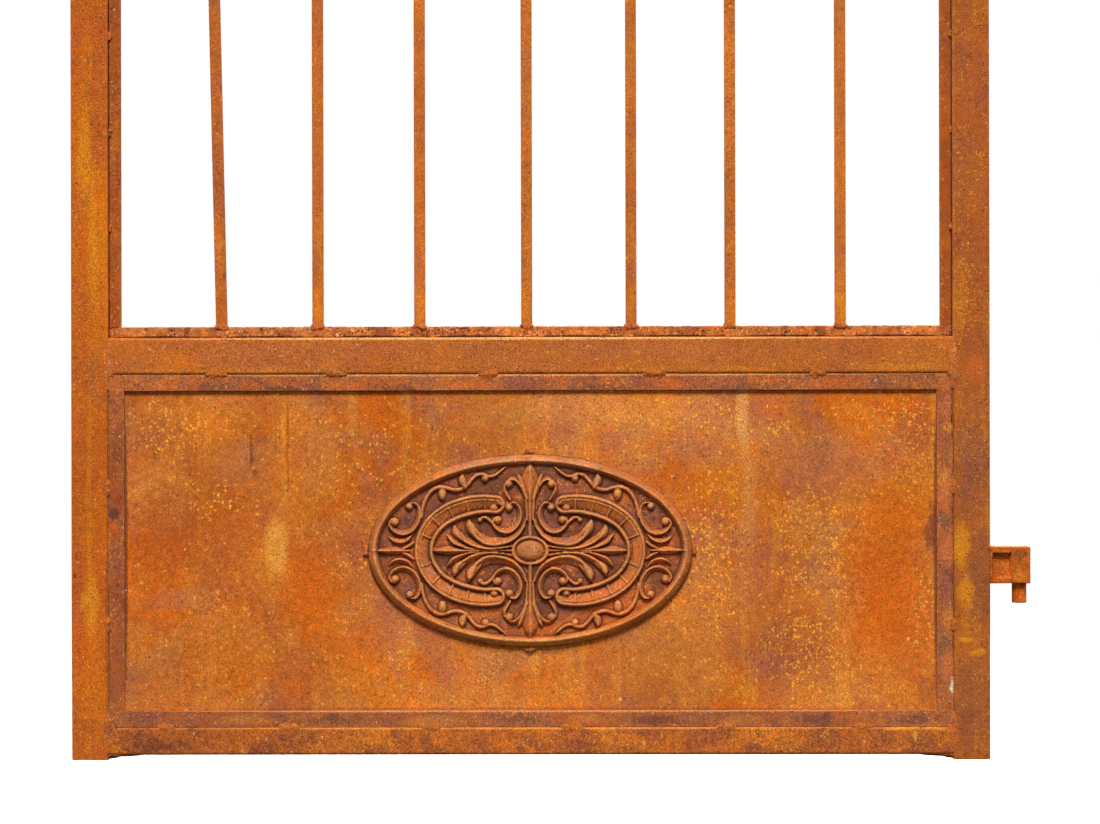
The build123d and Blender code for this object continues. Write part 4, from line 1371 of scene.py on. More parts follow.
@dataclass
class Medallion:
    """Oval casting with acanthus foliage and strapwork, sizes in millimetres."""

    half_width: float = 176.5
    half_height: float = 105.0
    rim: tuple[tuple[float, float], ...] = (
        (0, 4.2), (0.8, 5.6), (2.5, 7.4), (4.5, 9.4), (6.1, 10.8), (6.9, 11.1), (7.7, 10.7), (9.0, 8.6),
        (10.3, 6.0), (11.4, 4.0), (12.2, 3.0),
    )
    ground: float = 3.0
    unevenness: float = 0.22
    columns: int = 384
    rows: int = 226
    lumpiness: float = 0.24
    soft: float = 0.7
    full_rise: float = 5.0
    blurs: int = 10
    crest_rise: float = 1.2

    @staticmethod
    def palmette() -> tuple[Stroke, ...]:
        """Gives the upright leaf over the boss and the scrolls beside it.

        Returns:
            The strokes.
        """
        ridge, hollow = Moulding.RIDGE, Moulding.HOLLOW
        return (
            Stroke(((0, 14, 2.6), (0, 35, 2.6), (0, 50, 3.0), (0, 60, 4.6), (0, 68, 6.6), (0, 76, 8.6),
                    (0, 82, 8.2), (0, 88, 5.4), (0, 93, 2.8), (0, 98, 0.9)), 7.4, ridge),
            Stroke(((3, 56, 2.2), (6.2, 66, 3.6), (9.4, 74, 3.8), (11.6, 79.5, 2.4),
                    (13, 83, 0.9)), 6.6, ridge),
            Stroke(((2.6, 34, 1.5), (3.0, 46, 1.7), (3.8, 57, 2.0), (6.6, 66, 2.3), (10.5, 73, 2.5),
                    (15.5, 77.5, 2.4), (20.5, 78.2, 2.2), (24.2, 75.5, 2.0)), 6.2, hollow),
            Stroke(((28.2, 71.5, 1.4), (28.2, 66, 1.9), (25.6, 60.5, 2.1), (22, 55, 1.5)), 5.0, hollow),
            Stroke(((21, 50.6, 1.7), (16.6, 51, 2.1), (12.8, 47, 2.4), (11.0, 40.5, 2.7), (12.2, 33, 2.9),
                    (16.5, 26, 3.1), (23, 21.6, 3.1), (30, 21.6, 2.9), (36, 25, 2.5), (39.4, 30, 2.1),
                    (38.4, 34.6, 1.7)), 6.8, hollow),
            Stroke(((39.0, 27.5, 1.7), (44, 33, 2.0), (48.5, 36, 2.0), (52.6, 35.6, 1.8)), 5.0),
        )

    @staticmethod
    def fan() -> tuple[Stroke, ...]:
        """Gives the fan of leaves beside the boss.

        Returns:
            The strokes.
        """
        ridge, hollow = Moulding.RIDGE, Moulding.HOLLOW
        return (
            Stroke(((5.4, 33, 1.8), (8, 26, 2.4), (14, 18, 3.0), (22, 12.4, 3.6), (32, 9.6, 4.4),
                    (42, 9.2, 5.0), (50, 11.6, 5.0), (57, 16.4, 4.4), (62, 21.5, 3.2)), 7.6, hollow),
            Stroke(((59.6, 17, 3.0), (63, 22, 5.0), (65.2, 27, 4.9), (66.6, 32.4, 1.6)), 7.8),
            Stroke(((54, 16, 1.6), (58, 20.5, 2.3), (59.4, 24, 1.2)), 5.2),
            Stroke(((20, 5.4, 1.4), (32, 4.0, 1.8), (42, 3.4, 2.3), (52, 4.4, 3.0), (61, 7.2, 3.4),
                    (69, 11.2, 3.4), (76, 15.6, 2.8)), 7.0, hollow),
            Stroke(((75.6, 14, 2.6), (79.2, 17.8, 4.2), (81.4, 22, 4.1), (82.4, 26.6, 1.4)), 7.2),
            Stroke(((71, 13.5, 1.5), (74.4, 17, 2.0), (75.4, 19.6, 1.0)), 4.8),
            Stroke(((56, 1.8, 1.2), (68, 3.6, 1.8), (77, 7.2, 2.7), (83, 10.6, 3.4),
                    (89.6, 16.8, 1.3)), 6.6, hollow),
            Stroke(((18, 0, 1.3), (40, 0, 1.3), (62, 0, 1.5), (76, 0, 2.4), (84, 0, 4.2), (90, 0, 5.0),
                    (97, 0, 3.6), (106, 0, 0.9)), 6.8, ridge),
        )

    @staticmethod
    def border() -> tuple[Stroke, ...]:
        """Gives the leaves and the garland between the strap and the rim.

        Returns:
            The strokes.
        """
        ridge, hollow = Moulding.RIDGE, Moulding.HOLLOW
        return (
            Stroke(((131, 0, 1.0), (138, 0, 2.4), (146, 0, 4.2), (152, 0, 4.2), (159, 0, 2.8),
                    (166, 0, 1.6)), 6.6, ridge),
            Stroke(((127, 9, 1.2), (131.5, 5.5, 1.8), (138, 2.4, 1.6)), 5.0),
            Stroke(((128, 18, 0.8), (133.5, 12.8, 2.2), (141, 10.6, 2.9), (148, 11.8, 2.3),
                    (153.5, 15, 0.8)), 5.8, hollow),
            Stroke(((129, 51.2, 1.5), (124.6, 50.6, 1.9), (121.4, 46, 2.3), (121, 39, 2.6), (123, 31, 2.9),
                    (128, 23.8, 3.1), (135, 20, 3.1), (143, 20, 2.9), (149.4, 23.8, 2.5), (152.4, 29, 2.1),
                    (150.4, 33.6, 1.7)), 6.4, hollow),
            Stroke(((118, 36, 1.4), (116.6, 47, 2.0), (112.8, 57.5, 2.4), (106.8, 65.2, 2.5), (99, 69, 2.5),
                    (91, 68.3, 2.3), (83, 66, 2.3), (75, 67, 2.5), (68, 71.5, 2.5), (63, 77.5, 2.3),
                    (57.5, 82.3, 2.1), (51, 82.8, 2.1), (44.5, 80.6, 1.9), (38, 82, 1.7), (31.5, 86.8, 1.5),
                    (26.5, 91.2, 0.9)), 5.0),
            Stroke(((70, 69, 2.6), (73, 74.5, 4.6), (73.8, 79, 3.9), (73.4, 83, 1.2)), 6.8),
        )

    @staticmethod
    def buds() -> tuple[Bud, ...]:
        """Gives the knobs.

        Returns:
            The knobs of one quarter.
        """
        rows = (
            (23.2, 72.6, 4.6, 4.6, 6.8), (22.8, 46.8, 4.5, 4.5, 6.8), (35.4, 33.4, 4.5, 4.5, 6.8),
            (54.4, 33.2, 2.9, 2.9, 5.2), (39.6, 46.4, 4.4, 4.4, 6.4), (131.2, 48.0, 4.2, 4.2, 6.6),
            (147.4, 31.2, 4.8, 4.8, 6.8), (95.4, 61.8, 4.6, 7.4, 6.8), (48.8, 78.6, 4.2, 4.2, 6.2),
            (169.6, 0, 3.6, 3.2, 9.0), (0, 98.2, 3.6, 3.4, 9.0),
        )
        return tuple(Bud(*row) for row in rows)

    @staticmethod
    def stains() -> Stains:
        """Gives the stains on the casting: orange and gold below, tan above and a pale chip. The gold along
        the bottom of the rim is partly rust and partly painted highlight, the tan along its top is painted
        highlight, and a pale spot on its bottom is a painted glint.

        Returns:
            The stains.
        """
        orange, gold = Tint(202, 100, 26), Tint(216, 136, 52)
        return (
            *marks(
                Spread.WASH,
                (585, 165, 70, 40, orange, 0.7), (530, 140, 120, 26, orange, 0.6),
                (430, 165, 50, 44, Tint(200, 110, 40), 0.6), (360, 215, 30, 40, orange, 0.4),
                # The tan along the top of the rim, at (500, 322), is a painted highlight.
                (640, 225, 40, 40, orange, 0.5), (500, 322, 170, 14, Tint(196, 128, 84), 0.6),
            ),
            *marks(
                Spread.RUN,
                # The gold along the bottom of the rim is partly its own rust and partly painted highlight,
                # and the pale spot on it at (577, 131) is a painted glint.
                (500.5, 228, 17, 13, Tint(178, 116, 66), 0.6), (500, 127, 70, 6, gold, 0.7),
                (425, 137, 50, 9, gold, 0.5), (575, 137, 50, 9, gold, 0.5),
                (577, 131, 9, 2.4, Tint(246, 226, 200), 0.8),
            ),
            Stain(364, 299, 1.8, 2.2, Tint(236, 232, 232), 0.95, Spread.LINE),
        )

    def build(self) -> None:
        """Models the casting and dresses it."""
        finish = CastFinish().material("medallion_rust", self.stains())
        piece_from(self.casting(), "medallion_casting", finish, ("medallion",))

    def casting(self) -> Shape:
        """Models the casting as a grid drawn into the oval, raised by its relief and closed behind.

        Returns:
            The casting, with the relief and the crests of its face as numbers at its points.
        """
        low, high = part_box("medallion")
        bm = bmesh.new()
        layers = [bm.verts.layers.float.new(name) for name in ("relief", "crest")]
        bmesh.ops.create_grid(bm, x_segments=self.columns, y_segments=self.rows, size=1.0)
        flat = np.array([vert.co[:2] for vert in bm.verts])
        across = flat[:, 0] * np.sqrt(1 - flat[:, 1] ** 2 / 2) * self.half_width
        up = flat[:, 1] * np.sqrt(1 - flat[:, 0] ** 2 / 2) * self.half_height
        height = self.relief(across, up)
        crest = self.crests(flat, height)
        lumps = [bumps(Vector((x, y, 0.0)) * self.lumpiness) for x, y in zip(across, up)]
        height += np.array(lumps) * self.unevenness
        middle = Vector(((low.x + high.x) / 2, high.y, (low.z + high.z) / 2))
        for index, vert in enumerate(bm.verts):
            vert.co = middle + Vector((across[index], -height[index], up[index])) * MM
            vert[layers[0]] = (height[index] - self.ground) / self.full_rise
            vert[layers[1]] = crest[index]
        close_behind(bm, high.y)
        return bm

    def relief(self, across: np.ndarray, up: np.ndarray) -> np.ndarray:
        """Works out the casting's height over the sheet.

        Args:
            across: Distance from the middle along the long axis.
            up: Distance from the middle along the short axis.

        Returns:
            The height at each place.
        """
        x, y = np.abs(across), np.abs(up)
        height = np.full(x.shape, self.ground)
        for form in (*self.palmette(), *self.fan(), *self.border(), Strap(), *self.buds(), Boss()):
            height = self.raised(height, form.height(x, y))
        return self.rimmed(height, x, y)

    def raised(self, height: np.ndarray, rise: np.ndarray) -> np.ndarray:
        """Lays a raised form over the ground with a soft joint.

        Args:
            height: The height so far.
            rise: The form's height over the ground.

        Returns:
            The new height.
        """
        form = self.ground + rise
        near = np.clip(self.soft - np.abs(height - form), 0, self.soft) / self.soft
        return np.where(rise > 0, np.maximum(height, form) + near ** 2 * self.soft / 4, height)

    def rimmed(self, height: np.ndarray, x: np.ndarray, y: np.ndarray) -> np.ndarray:
        """Adds the rim, steep outside and sloping inside.

        Args:
            height: The height inside the rim.
            x: Places along the long axis.
            y: Places along the short axis.

        Returns:
            The height with the rim.
        """
        share = np.maximum(np.hypot(x / self.half_width, y / self.half_height), 1e-6)
        slope = np.hypot(x / self.half_width ** 2, y / self.half_height ** 2) / share
        inwards = np.clip((1 - share) / np.maximum(slope, 1e-9), 0, 60)
        depths, heights = zip(*self.rim)
        rim = np.interp(inwards, depths, heights)
        return np.where(inwards < depths[-1], np.maximum(rim, height), height)

    def crests(self, flat: np.ndarray, height: np.ndarray) -> np.ndarray:
        """Finds what stands proud of its surroundings and what lies in a hollow.

        Args:
            flat: Places of the grid's points in the flat grid.
            height: The height at each point.

        Returns:
            A number from about -1 in a deep hollow to 1 on a crest.
        """
        column = np.rint((flat[:, 0] + 1) / 2 * self.columns).astype(int)
        row = np.rint((flat[:, 1] + 1) / 2 * self.rows).astype(int)
        field = np.zeros((self.columns + 1, self.rows + 1))
        field[column, row] = height
        blurred = field
        for _ in range(self.blurs):
            padded = np.pad(blurred, 1, mode="edge")
            sides = padded[:-2, 1:-1] + padded[2:, 1:-1] + padded[1:-1, :-2] + padded[1:-1, 2:]
            blurred = (sides + 2 * blurred) / 6
        return np.clip((field - blurred)[column, row] / self.crest_rise, -1, 1)


@dataclass
class Welds:
    """Irregular weld lumps over one CAD weld node, each a row of overlapping drops.

    What a lump grows by, the length of its drops and the wobble of its skin are in millimetres. The drops'
    sizes and stray are in shares of the lump's, and their overlap and the gap at its ends in shares of a
    drop.
    """

    node: str
    grow: tuple[float, float, float] = (0.6, 0.6, 0.6)
    bead: float = 3.0
    wobble: float = 0.5
    seed: int = 1
    rust: RustFinish = WELD
    first_seed: float = 40.0
    lumpiness: float = 260.0
    sizes: tuple[float, float] = (0.65, 1.15)
    overlap: tuple[float, float] = (1.5, 2.1)
    stray: float = 0.15
    end_gap: float = 0.7

    def islands(self) -> list[tuple[Vector, Vector]]:
        """Finds each lump of the CAD node.

        Returns:
            The lowest and highest corner of each lump.
        """
        bm = bmesh.new()
        bm.from_mesh(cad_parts[self.node].data)
        bmesh.ops.remove_doubles(bm, verts=bm.verts, dist=1e-6)
        found, seen = [], set()
        for vert in bm.verts:
            if vert in seen:
                continue
            group, waiting = [], [vert]
            seen.add(vert)
            while waiting:
                here = waiting.pop()
                group.append(here.co.copy())
                for edge in here.link_edges:
                    other = edge.other_vert(here)
                    if other not in seen:
                        seen.add(other)
                        waiting.append(other)
            low = Vector([min(co[axis] for co in group) for axis in range(3)])
            high = Vector([max(co[axis] for co in group) for axis in range(3)])
            found.append((low, high))
        bm.free()
        return sorted(found, key=lambda corners: tuple(round(c, 5) for c in corners[0]))

    def build(self) -> None:
        """Models the lumps and dresses them."""
        chance = Random(self.seed)
        bm = bmesh.new()
        for low, high in self.islands():
            self.lump(bm, low, high, chance)
        bm.normal_update()
        for vert in bm.verts:
            vert.co += vert.normal * bumps(vert.co * self.lumpiness) * self.wobble * MM
        self.extras(bm)
        bmesh.ops.recalc_face_normals(bm, faces=bm.faces)
        finish = self.rust.material(f"{self.node}_rust", self.first_seed + self.seed)
        piece_from(bm, f"{self.node}_beads", finish, (self.node,))

    def extras(self, bm: Shape) -> None:
        """Adds what only some welds have to a mesh, here nothing."""

    def lump(self, bm: Shape, low: Vector, high: Vector, chance: Random) -> None:
        """Adds one weld as a row of overlapping drops.

        Args:
            bm: The mesh to add to.
            low: The weld's lowest corner.
            high: The weld's highest corner.
            chance: Seeded chance, for the drops' sizes and places.
        """
        half = (high - low) / 2 + Vector(self.grow) * MM
        middle = (low + high) / 2
        along = long_axis(half)
        count = max(2, round(half[along] * 2 / (self.bead * MM)))
        for index in range(count):
            share = (index + 0.5) / count * 2 - 1
            size = [half[axis] * chance.uniform(*self.sizes) for axis in range(3)]
            size[along] = half[along] / count * chance.uniform(*self.overlap)
            place = middle.copy()
            place[along] += share * half[along] * (1 - self.end_gap / count)
            for axis in range(3):
                if axis != along:
                    place[axis] += half[axis] * chance.uniform(-self.stray, self.stray)
            self.drop(bm, place, Vector(size))

    @staticmethod
    def drop(bm: Shape, place: Vector, size: Vector) -> None:
        """Adds one drop of weld metal, with its place and its half sizes, to a mesh."""
        matrix = Matrix.Translation(place) @ Matrix.Diagonal((*size, 1.0))
        bmesh.ops.create_icosphere(bm, subdivisions=3, radius=1.0, matrix=matrix)


@dataclass
class GroundPatch:
    """Weld ground down flush over a joint on the front or the back, sizes in metres.

    It lies on steel at one level and, past its seam and its edge, at a lower one. It stands proud inside and
    is sunk into the steel round its frayed outline.
    """

    middle: Vector
    half: tuple[float, float]
    facing: int
    level: float
    low_level: float
    inwards: int
    edge: float
    away: int
    proud: float = 0.0003
    fade: float = 0.003
    fray: float = 0.0008
    fray_lumps: float = 180.0
    skin: float = 0.00035
    skin_lumps: float = 300.0
    sunk: float = 0.0007
    step: float = 0.004
    root: float = 0.003
    grid: float = 0.0005

    def surface(self, x: float, z: float) -> float:
        """Works out how far out the steel under the patch lies.

        Args:
            x: Place along the leaf.
            z: Height.

        Returns:
            The distance from the leaf's middle plane.
        """
        aside = soft_step(self.inwards * (x - self.middle.x) / self.step) if self.inwards else 1.0
        beyond = soft_step(self.away * (z - self.edge) / self.step)
        return self.level - (self.level - self.low_level) * aside * beyond

    def add(self, target: Shape) -> None:
        """Adds the patch, sunk into the steel round its edge, to a mesh.

        Args:
            target: The mesh to add to.
        """
        bm = bmesh.new()
        half_x, half_z = self.half
        columns, rows = (max(6, round(half / self.grid)) for half in self.half)
        bmesh.ops.create_grid(bm, x_segments=columns, y_segments=rows, size=1.0)
        for vert in bm.verts:
            x, z = self.middle.x + vert.co.x * half_x, self.middle.z + vert.co.y * half_z
            inside = (1 - (vert.co.x ** 4 + vert.co.y ** 4) ** 0.25) * min(half_x, half_z)
            inside += bumps(Vector((x, 5.0, z)) * self.fray_lumps) * self.fray
            lift = -self.sunk + (self.sunk + self.proud) * soft_step(inside / self.fade)
            lift += bumps(Vector((x, 0.3 * self.facing, z)) * self.skin_lumps) * self.skin
            vert.co = Vector((x, self.facing * (self.surface(x, z) + lift), z))
        close_behind(bm, self.facing * (self.low_level - self.root))
        add_mesh(target, bm)


@dataclass
class CornerWelds(Welds):
    """Welds over the joints of rails and stiles, ground flush, and fillets under the gate, in metres."""

    half_breadth: float = 0.0065
    trim: float = 0.0024
    fillets: tuple[tuple[float, float, float], ...] = ((0.014, 0.019, 0.0052), (0.040, 0.019, 0.0032))
    touch: float = 0.001

    def lump(self, bm: Shape, low: Vector, high: Vector, chance: Random) -> None:
        """Adds one ground weld.

        Args:
            bm: The mesh to add to.
            low: The weld's lowest corner.
            high: The weld's highest corner.
            chance: Seeded chance, unused here.
        """
        middle = (low + high) / 2
        facing = -1 if middle.y < 0 else 1
        rails = [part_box(name) for name in ("bottom_rail", "mid_rail", "top_rail")]
        rail_low, rail_high = min(rails, key=lambda box: abs((box[0].z + box[1].z) / 2 - middle.z))
        inwards = 1 if abs(middle.x - rail_low.x) < abs(middle.x - rail_high.x) else -1
        seam = rail_low.x if inwards > 0 else rail_high.x
        bottom, top = rail_low.z + self.trim, rail_high.z - self.trim
        level, low_level, edge, away = rail_high.y, rail_high.y, rail_low.z, -1
        if facing < 0:
            strip_low, strip_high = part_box("panel_strip_top")
            if abs(strip_high.z - rail_low.z) < self.touch:
                low_level, bottom = -strip_low.y, strip_low.z + self.trim / 2
            strip_low, strip_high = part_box("panel_strip_bottom")
            if abs(strip_low.z - rail_high.z) < self.touch:
                low_level, top, edge, away = -strip_low.y, strip_high.z - self.trim / 2, rail_high.z, 1
        place = Vector((seam, 0.0, (bottom + top) / 2))
        half = (self.half_breadth, (top - bottom) / 2)
        GroundPatch(place, half, facing, level, low_level, inwards, edge, away).add(bm)

    def extras(self, bm: Shape) -> None:
        """Adds the weld metal under the ends of the bottom rail.

        Args:
            bm: The mesh to add to.
        """
        low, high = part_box("bottom_rail")
        for x in (low.x, high.x):
            for size in self.fillets:
                self.drop(bm, Vector((x, (low.y + high.y) / 2, low.z)), Vector(size))


@dataclass
class StripWelds(Welds):
    """Tacks of the panel strips and the welds where the strips meet, all ground flat, sizes in metres.

    The spreads of the tacks' sizes are in shares of the longest and the tallest one.
    """

    tall: float = 0.0065
    longest: float = 0.0125
    proud: float = 0.00045
    upright_breadth: float = 0.8
    upright_length: tuple[float, float] = (0.5, 0.7)
    level_length: tuple[float, float] = (0.75, 1.0)
    level_height: tuple[float, float] = (0.85, 1.0)
    corner_half: float = 0.0045
    corner_inset: float = 0.0004
    corner_proud: float = 0.00012

    def lump(self, bm: Shape, low: Vector, high: Vector, chance: Random) -> None:
        """Adds one tack, ground flat over its seam.

        Args:
            bm: The mesh to add to.
            low: The weld's lowest corner.
            high: The weld's highest corner.
            chance: Seeded chance, for the tack's size.
        """
        level = -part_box("mid_rail")[0].y
        sheet_low, sheet_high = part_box("panel_sheet")
        if high.x - low.x < high.z - low.z:
            side, inwards = ("left", 1) if low.x < (sheet_low.x + sheet_high.x) / 2 else ("right", -1)
            strip_low, strip_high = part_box(f"panel_strip_{side}")
            seam = strip_low.x if inwards > 0 else strip_high.x
            place = Vector((seam, 0.0, (low.z + high.z) / 2))
            half = (self.tall * self.upright_breadth, self.longest * chance.uniform(*self.upright_length))
            GroundPatch(place, half, -1, level, -strip_low.y, inwards, low.z - 1.0, 1, self.proud).add(bm)
            return
        side, away = ("top", -1) if low.z > (sheet_low.z + sheet_high.z) / 2 else ("bottom", 1)
        strip_low, strip_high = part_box(f"panel_strip_{side}")
        seam = strip_high.z if away < 0 else strip_low.z
        place = Vector(((low.x + high.x) / 2, 0.0, seam + away * MM))
        half_length = self.longest * chance.uniform(*self.level_length)
        half = (half_length, self.tall * chance.uniform(*self.level_height))
        GroundPatch(place, half, -1, level, -strip_low.y, 0, seam, away, self.proud).add(bm)

    def extras(self, bm: Shape) -> None:
        """Adds the corner welds of the strips.

        Args:
            bm: The mesh to add to.
        """
        for side in ("left", "right"):
            low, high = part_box(f"panel_strip_{side}")
            for z in (low.z, high.z):
                place = Vector(((low.x + high.x) / 2, 0.0, z))
                half = ((high.x - low.x) / 2 - self.corner_inset, self.corner_half)
                GroundPatch(place, half, -1, -low.y, -low.y, 1, z, 1, self.corner_proud).add(bm)


@dataclass
class Hinges:
    """Brackets and blocks of the two hinges, sizes in metres."""

    lip: float = 0.0025
    flange: float = 0.007
    back: float = 0.0222
    slope: float = 0.005
    sloped: float = 0.007
    worn: float = 0.0011
    wobble: float = 0.00035
    lumpiness: float = 140.0
    most_worn: float = 0.4
    seed: float = 61.0
    pin_seed: float = 65.0

    def build(self) -> None:
        """Models the brackets and blocks and dresses them and the pins."""
        for index, name in enumerate(("lower", "upper")):
            stains = self.stains(f"{name}_hinge_bracket")
            finish = HINGE.material(f"{name}_hinge_rust", self.seed + index, None, stains)
            self.bracket(name, finish)
            self.block(name, finish)
            dress(f"{name}_hinge_pin", PIN.material(f"{name}_pin_rust", self.pin_seed + index))

    @staticmethod
    def stains(node: str) -> Stains:
        """Gives the marks on a hinge, with painted highlights along its flanges and painted shade in its
        pocket.

        Args:
            node: The hinge's bracket.

        Returns:
            The stains.
        """
        low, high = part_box(node)
        across, up = on_leaf(low)[0], on_leaf((low + high) / 2)[1]
        return (
            *marks(
                Spread.PATCH,
                (across + 33, up + 10, 7, 8, Tint(122, 58, 38), 0.8),
                (across + 33, up - 13, 9, 7, Tint(214, 124, 30), 0.7),
            ),
            # Pale lines along the top flange and on the lower flange are painted highlights; the dark patch
            # in the pocket is painted shade.
            Stain(across + 22, up + 20.5, 22, 2, Tint(232, 158, 84), 0.6, Spread.LINE),
            Stain(across + 7, up + 11, 9, 7, Tint(110, 58, 28), 0.4, Spread.PATCH),
            Stain(across + 16, up - 13.5, 10, 2.0, Tint(222, 134, 62), 0.45, Spread.LINE),
        )

    def bracket(self, name: str, finish: Material) -> None:
        """Models a bracket: a short channel open to the front.

        Args:
            name: The hinge's name.
            finish: Its finish.
        """
        node = f"{name}_hinge_bracket"
        low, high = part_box(node)
        bm = bmesh.new()
        out = high.x + self.worn
        self.add_bar(bm, low, Vector((low.x + self.lip, high.y, high.z)))
        self.add_bar(bm, low, Vector((out, high.y, low.z + self.flange)))
        self.add_bar(bm, Vector((low.x, low.y, high.z - self.flange)), Vector((out, high.y, high.z)))
        self.add_bar(bm, Vector((low.x, high.y - self.back, low.z)), Vector((out, high.y, high.z)))
        piece_from(bm, f"{name}_hinge_channel", finish, (node,))

    def block(self, name: str, finish: Material) -> None:
        """Models a block.

        Args:
            name: The hinge's name.
            finish: Its finish.
        """
        node = f"{name}_hinge_block"
        bm = bmesh.new()
        low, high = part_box(node)
        self.add_bar(bm, low, high)
        for vert in bm.verts:
            front = soft_step((high.y - vert.co.y) / (high.y - low.y) * 2 - 1)
            vert.co.y += self.slope * front * soft_step((low.x + self.sloped - vert.co.x) / self.sloped)
        piece_from(bm, f"{name}_hinge_knuckle", finish, (node,))

    def add_bar(self, target: Shape, low: Vector, high: Vector) -> None:
        """Adds a worn bar between two corners to a mesh."""
        worn = min(self.worn, min(high - low) * self.most_worn)
        add_mesh(target, worn_bar(low, high, worn, self.wobble, self.lumpiness))


@dataclass
class Latch:
    """Sliding rod with its handle, stop collar and guide lug."""

    seed: float = 71.0

    def build(self) -> None:
        """Dresses the latch."""
        for index, node in enumerate(("latch_rod", "latch_handle", "latch_stop_collar", "latch_guide_lug")):
            dress(node, LATCH.material(f"{node}_rust", self.seed + index))


@dataclass(frozen=True)
class Lamp:
    """Soft square lamp: its name, its place, its side in metres and its power in watts."""

    name: str
    place: tuple[float, float, float]
    side: float
    power: float

    def add(self, aim: Vector, beam: float) -> None:
        """Adds the lamp to the scene.

        Args:
            aim: The place it points at.
            beam: The angle of its beam.
        """
        data = bpy.data.lights.new(self.name, "AREA")
        data.size = self.side
        data.energy = self.power
        data.spread = beam
        lamp = bpy.data.objects.new(self.name, data)
        lamp.location = self.place
        lamp.visible_camera = False
        lamp.rotation_euler = (aim - Vector(self.place)).to_track_quat("-Z", "Y").to_euler()
        bpy.context.scene.collection.objects.link(lamp)


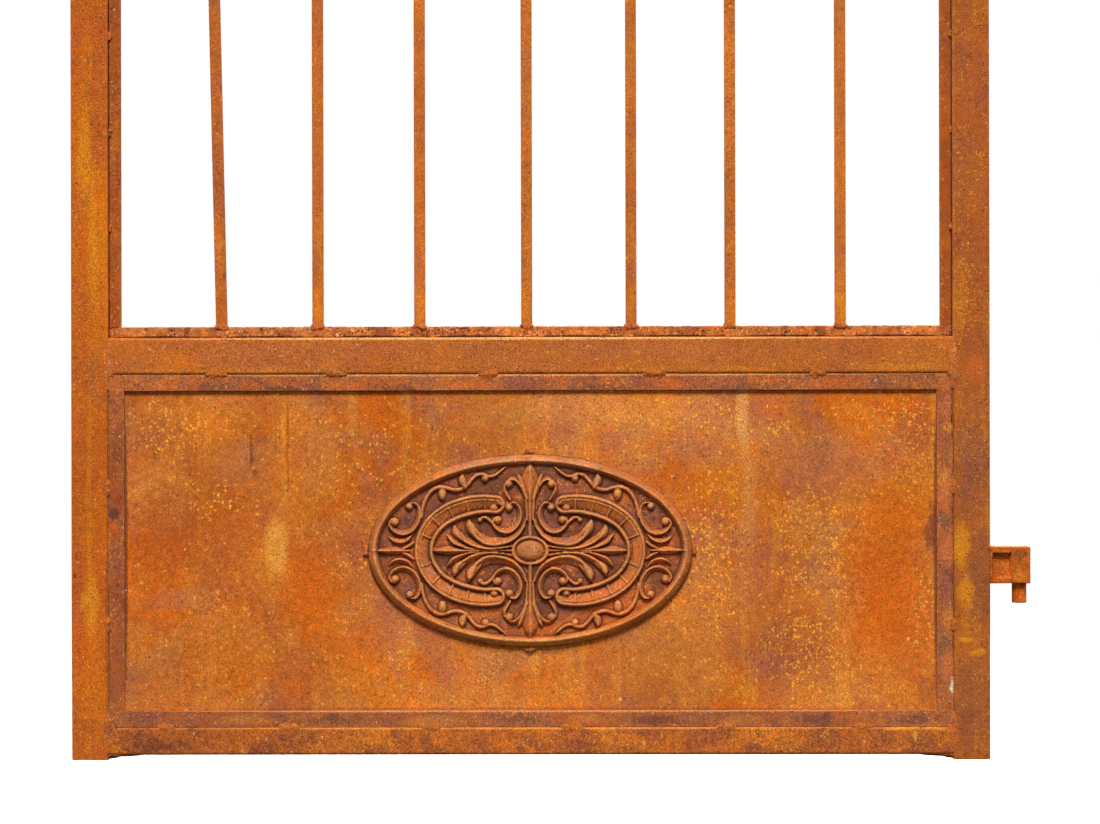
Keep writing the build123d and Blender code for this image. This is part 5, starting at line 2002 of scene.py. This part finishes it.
@dataclass
class Studio:
    """Round pale floor that sweeps up into a wall, soft lights and the camera, sizes in metres.

    The leaf's left edge and foot are where the photo has them, in pixels. The sensor is in millimetres.
    """

    photo_size: tuple[int, int] = (1100, 824)
    metres_per_pixel: float = 0.0010875
    distance: float = 4.5
    sideways: float = 0.06
    roll: float = math.radians(-0.12)
    sensor: float = 36.0
    clearance: float = 0.04
    leaf_left: float = 70.0
    leaf_foot: float = 760.0
    beam: float = math.radians(50)
    aim: tuple[float, float, float] = (-0.53, 0.0, -0.1)
    air: float = 0.12
    lamps: tuple[Lamp, ...] = (
        Lamp("key_light", (-0.5, -4.15, 4.55), 2.1, 42.5),
        Lamp("fill_light", (-0.5, -4.5, 0.6), 2.0, 2.3),
        Lamp("back_light", (-0.5, 4.4, 3.4), 2.1, 36.0),
        Lamp("left_light", (-4.9, 1.9, 3.0), 2.1, 25.0),
        Lamp("right_light", (3.9, 1.9, 3.0), 2.1, 25.0),
    )
    radius: float = 14.0
    wall: float = 10.0
    sweep: float = 2.0
    glow: float = 0.9
    white: tuple[float, float, float, float] = (1.0, 1.0, 1.0, 1.0)

    def build(self) -> None:
        """Sets up the floor, the lights and the camera."""
        self.floor()
        self.lights()
        self.camera()

    def paper(self) -> Material:
        """Makes the glowing pale paper of the floor.

        Returns:
            The material.
        """
        bench = PaintBench("studio_paper")
        grain = bench.cloud(bench.shifted(0.0), PAPER)
        tone = bench.over(Tint(246, 246, 246), Tint(242, 242, 242), grain)
        paper = bench.finish(tone, bench.ease(grain, -1.0, 0.4), grain, 0.00005, 0.0)
        shader = paper.node_tree.nodes["Principled BSDF"]
        shader.inputs["Emission Color"].default_value = self.white
        shader.inputs["Emission Strength"].default_value = self.glow
        return paper

    def floor(self) -> None:
        """Makes the floor and the wall round it."""
        bm = bmesh.new()
        half_way = LEAF_BOTTOM - self.clearance + self.wall / 2
        bmesh.ops.create_cone(
            bm, cap_ends=True, segments=96, radius1=self.radius, radius2=self.radius, depth=self.wall,
            matrix=Matrix.Translation((0.0, 0.0, half_way)),
        )
        roof = [face for face in bm.faces if min(vert.co.z for vert in face.verts) > half_way]
        bmesh.ops.delete(bm, geom=roof, context="FACES_ONLY")
        foot = [edge for edge in bm.edges if max(vert.co.z for vert in edge.verts) < half_way]
        bmesh.ops.bevel(
            bm, geom=foot, offset=self.sweep, affect="EDGES", segments=12, profile=0.5, material=-1
        )
        bmesh.ops.reverse_faces(bm, faces=bm.faces)
        floor = object_from(bm, "studio_floor", self.paper())
        floor.visible_diffuse = False
        floor.visible_glossy = False

    def lights(self) -> None:
        """Lights the gate softly from above, in front and, for what faces away, behind and from the sides."""
        world = bpy.data.worlds.new("studio_air")
        world.use_nodes = True
        air = world.node_tree.nodes["Background"]
        air.inputs["Color"].default_value = self.white
        air.inputs["Strength"].default_value = self.air
        bpy.context.scene.world = world
        for lamp in self.lamps:
            lamp.add(Vector(self.aim), self.beam)
        bpy.context.scene.view_settings.view_transform = "Standard"

    def camera(self) -> None:
        """Sets the camera where the photo was taken from."""
        width, height = self.photo_size
        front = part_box("left_stile")[0].y
        middle_x = LEAF_LEFT + (width / 2 - self.leaf_left) * self.metres_per_pixel
        middle_z = LEAF_BOTTOM + (self.leaf_foot - height / 2) * self.metres_per_pixel
        data = bpy.data.cameras.new("photo_camera")
        data.sensor_width = self.sensor
        data.lens = self.sensor * self.distance / (width * self.metres_per_pixel)
        camera = bpy.data.objects.new("photo_camera", data)
        place = Vector((middle_x + self.sideways, front - self.distance, middle_z))
        camera.location = place
        aim = Vector((middle_x, front, middle_z)) - place
        camera.rotation_euler = (aim.to_track_quat("-Z", "Y") @ Quaternion((0, 0, 1), self.roll)).to_euler()
        bpy.context.scene.collection.objects.link(camera)
        bpy.context.scene.camera = camera


def weld_groups() -> tuple[Welds, ...]:
    """Gives the weld groups with how each one is laid on.

    Returns:
        The groups.
    """
    return (
        CornerWelds("frame_corner_welds", wobble=0.0, seed=1),
        StripWelds("panel_strip_welds", wobble=0.9, seed=2, rust=RAIL),
        Welds("panel_sheet_welds", (1.0, 0.4, 0.6), 4.0, 0.6, 3),
        Welds("grille_bar_welds", (1.6, 0.8, 1.0), 4.0, 0.7, 4),
        Welds("grille_tack_welds", (0.6, 0.4, 0.4), 3.5, 0.6, 5),
        Welds("medallion_welds", (0.3, 0.2, 0.3), 4.0, 0.8, 6),
        Welds("hinge_welds", (0.4, 0.4, 0.2), 4.0, 0.5, 7),
        Welds("latch_welds", (0.3, 0.3, 0.3), 3.0, 0.4, 8),
    )


def main() -> None:
    """Builds the gate's looks piece by piece."""
    logging.basicConfig(level=logging.INFO, format="%(message)s")
    for part in (TubeFrame(), Panel(), Grille(), Medallion(), *weld_groups(), Hinges(), Latch(), Studio()):
        LOG.info("building %s", type(part).__name__)
        part.build()


if __name__ == "__main__":
    main()
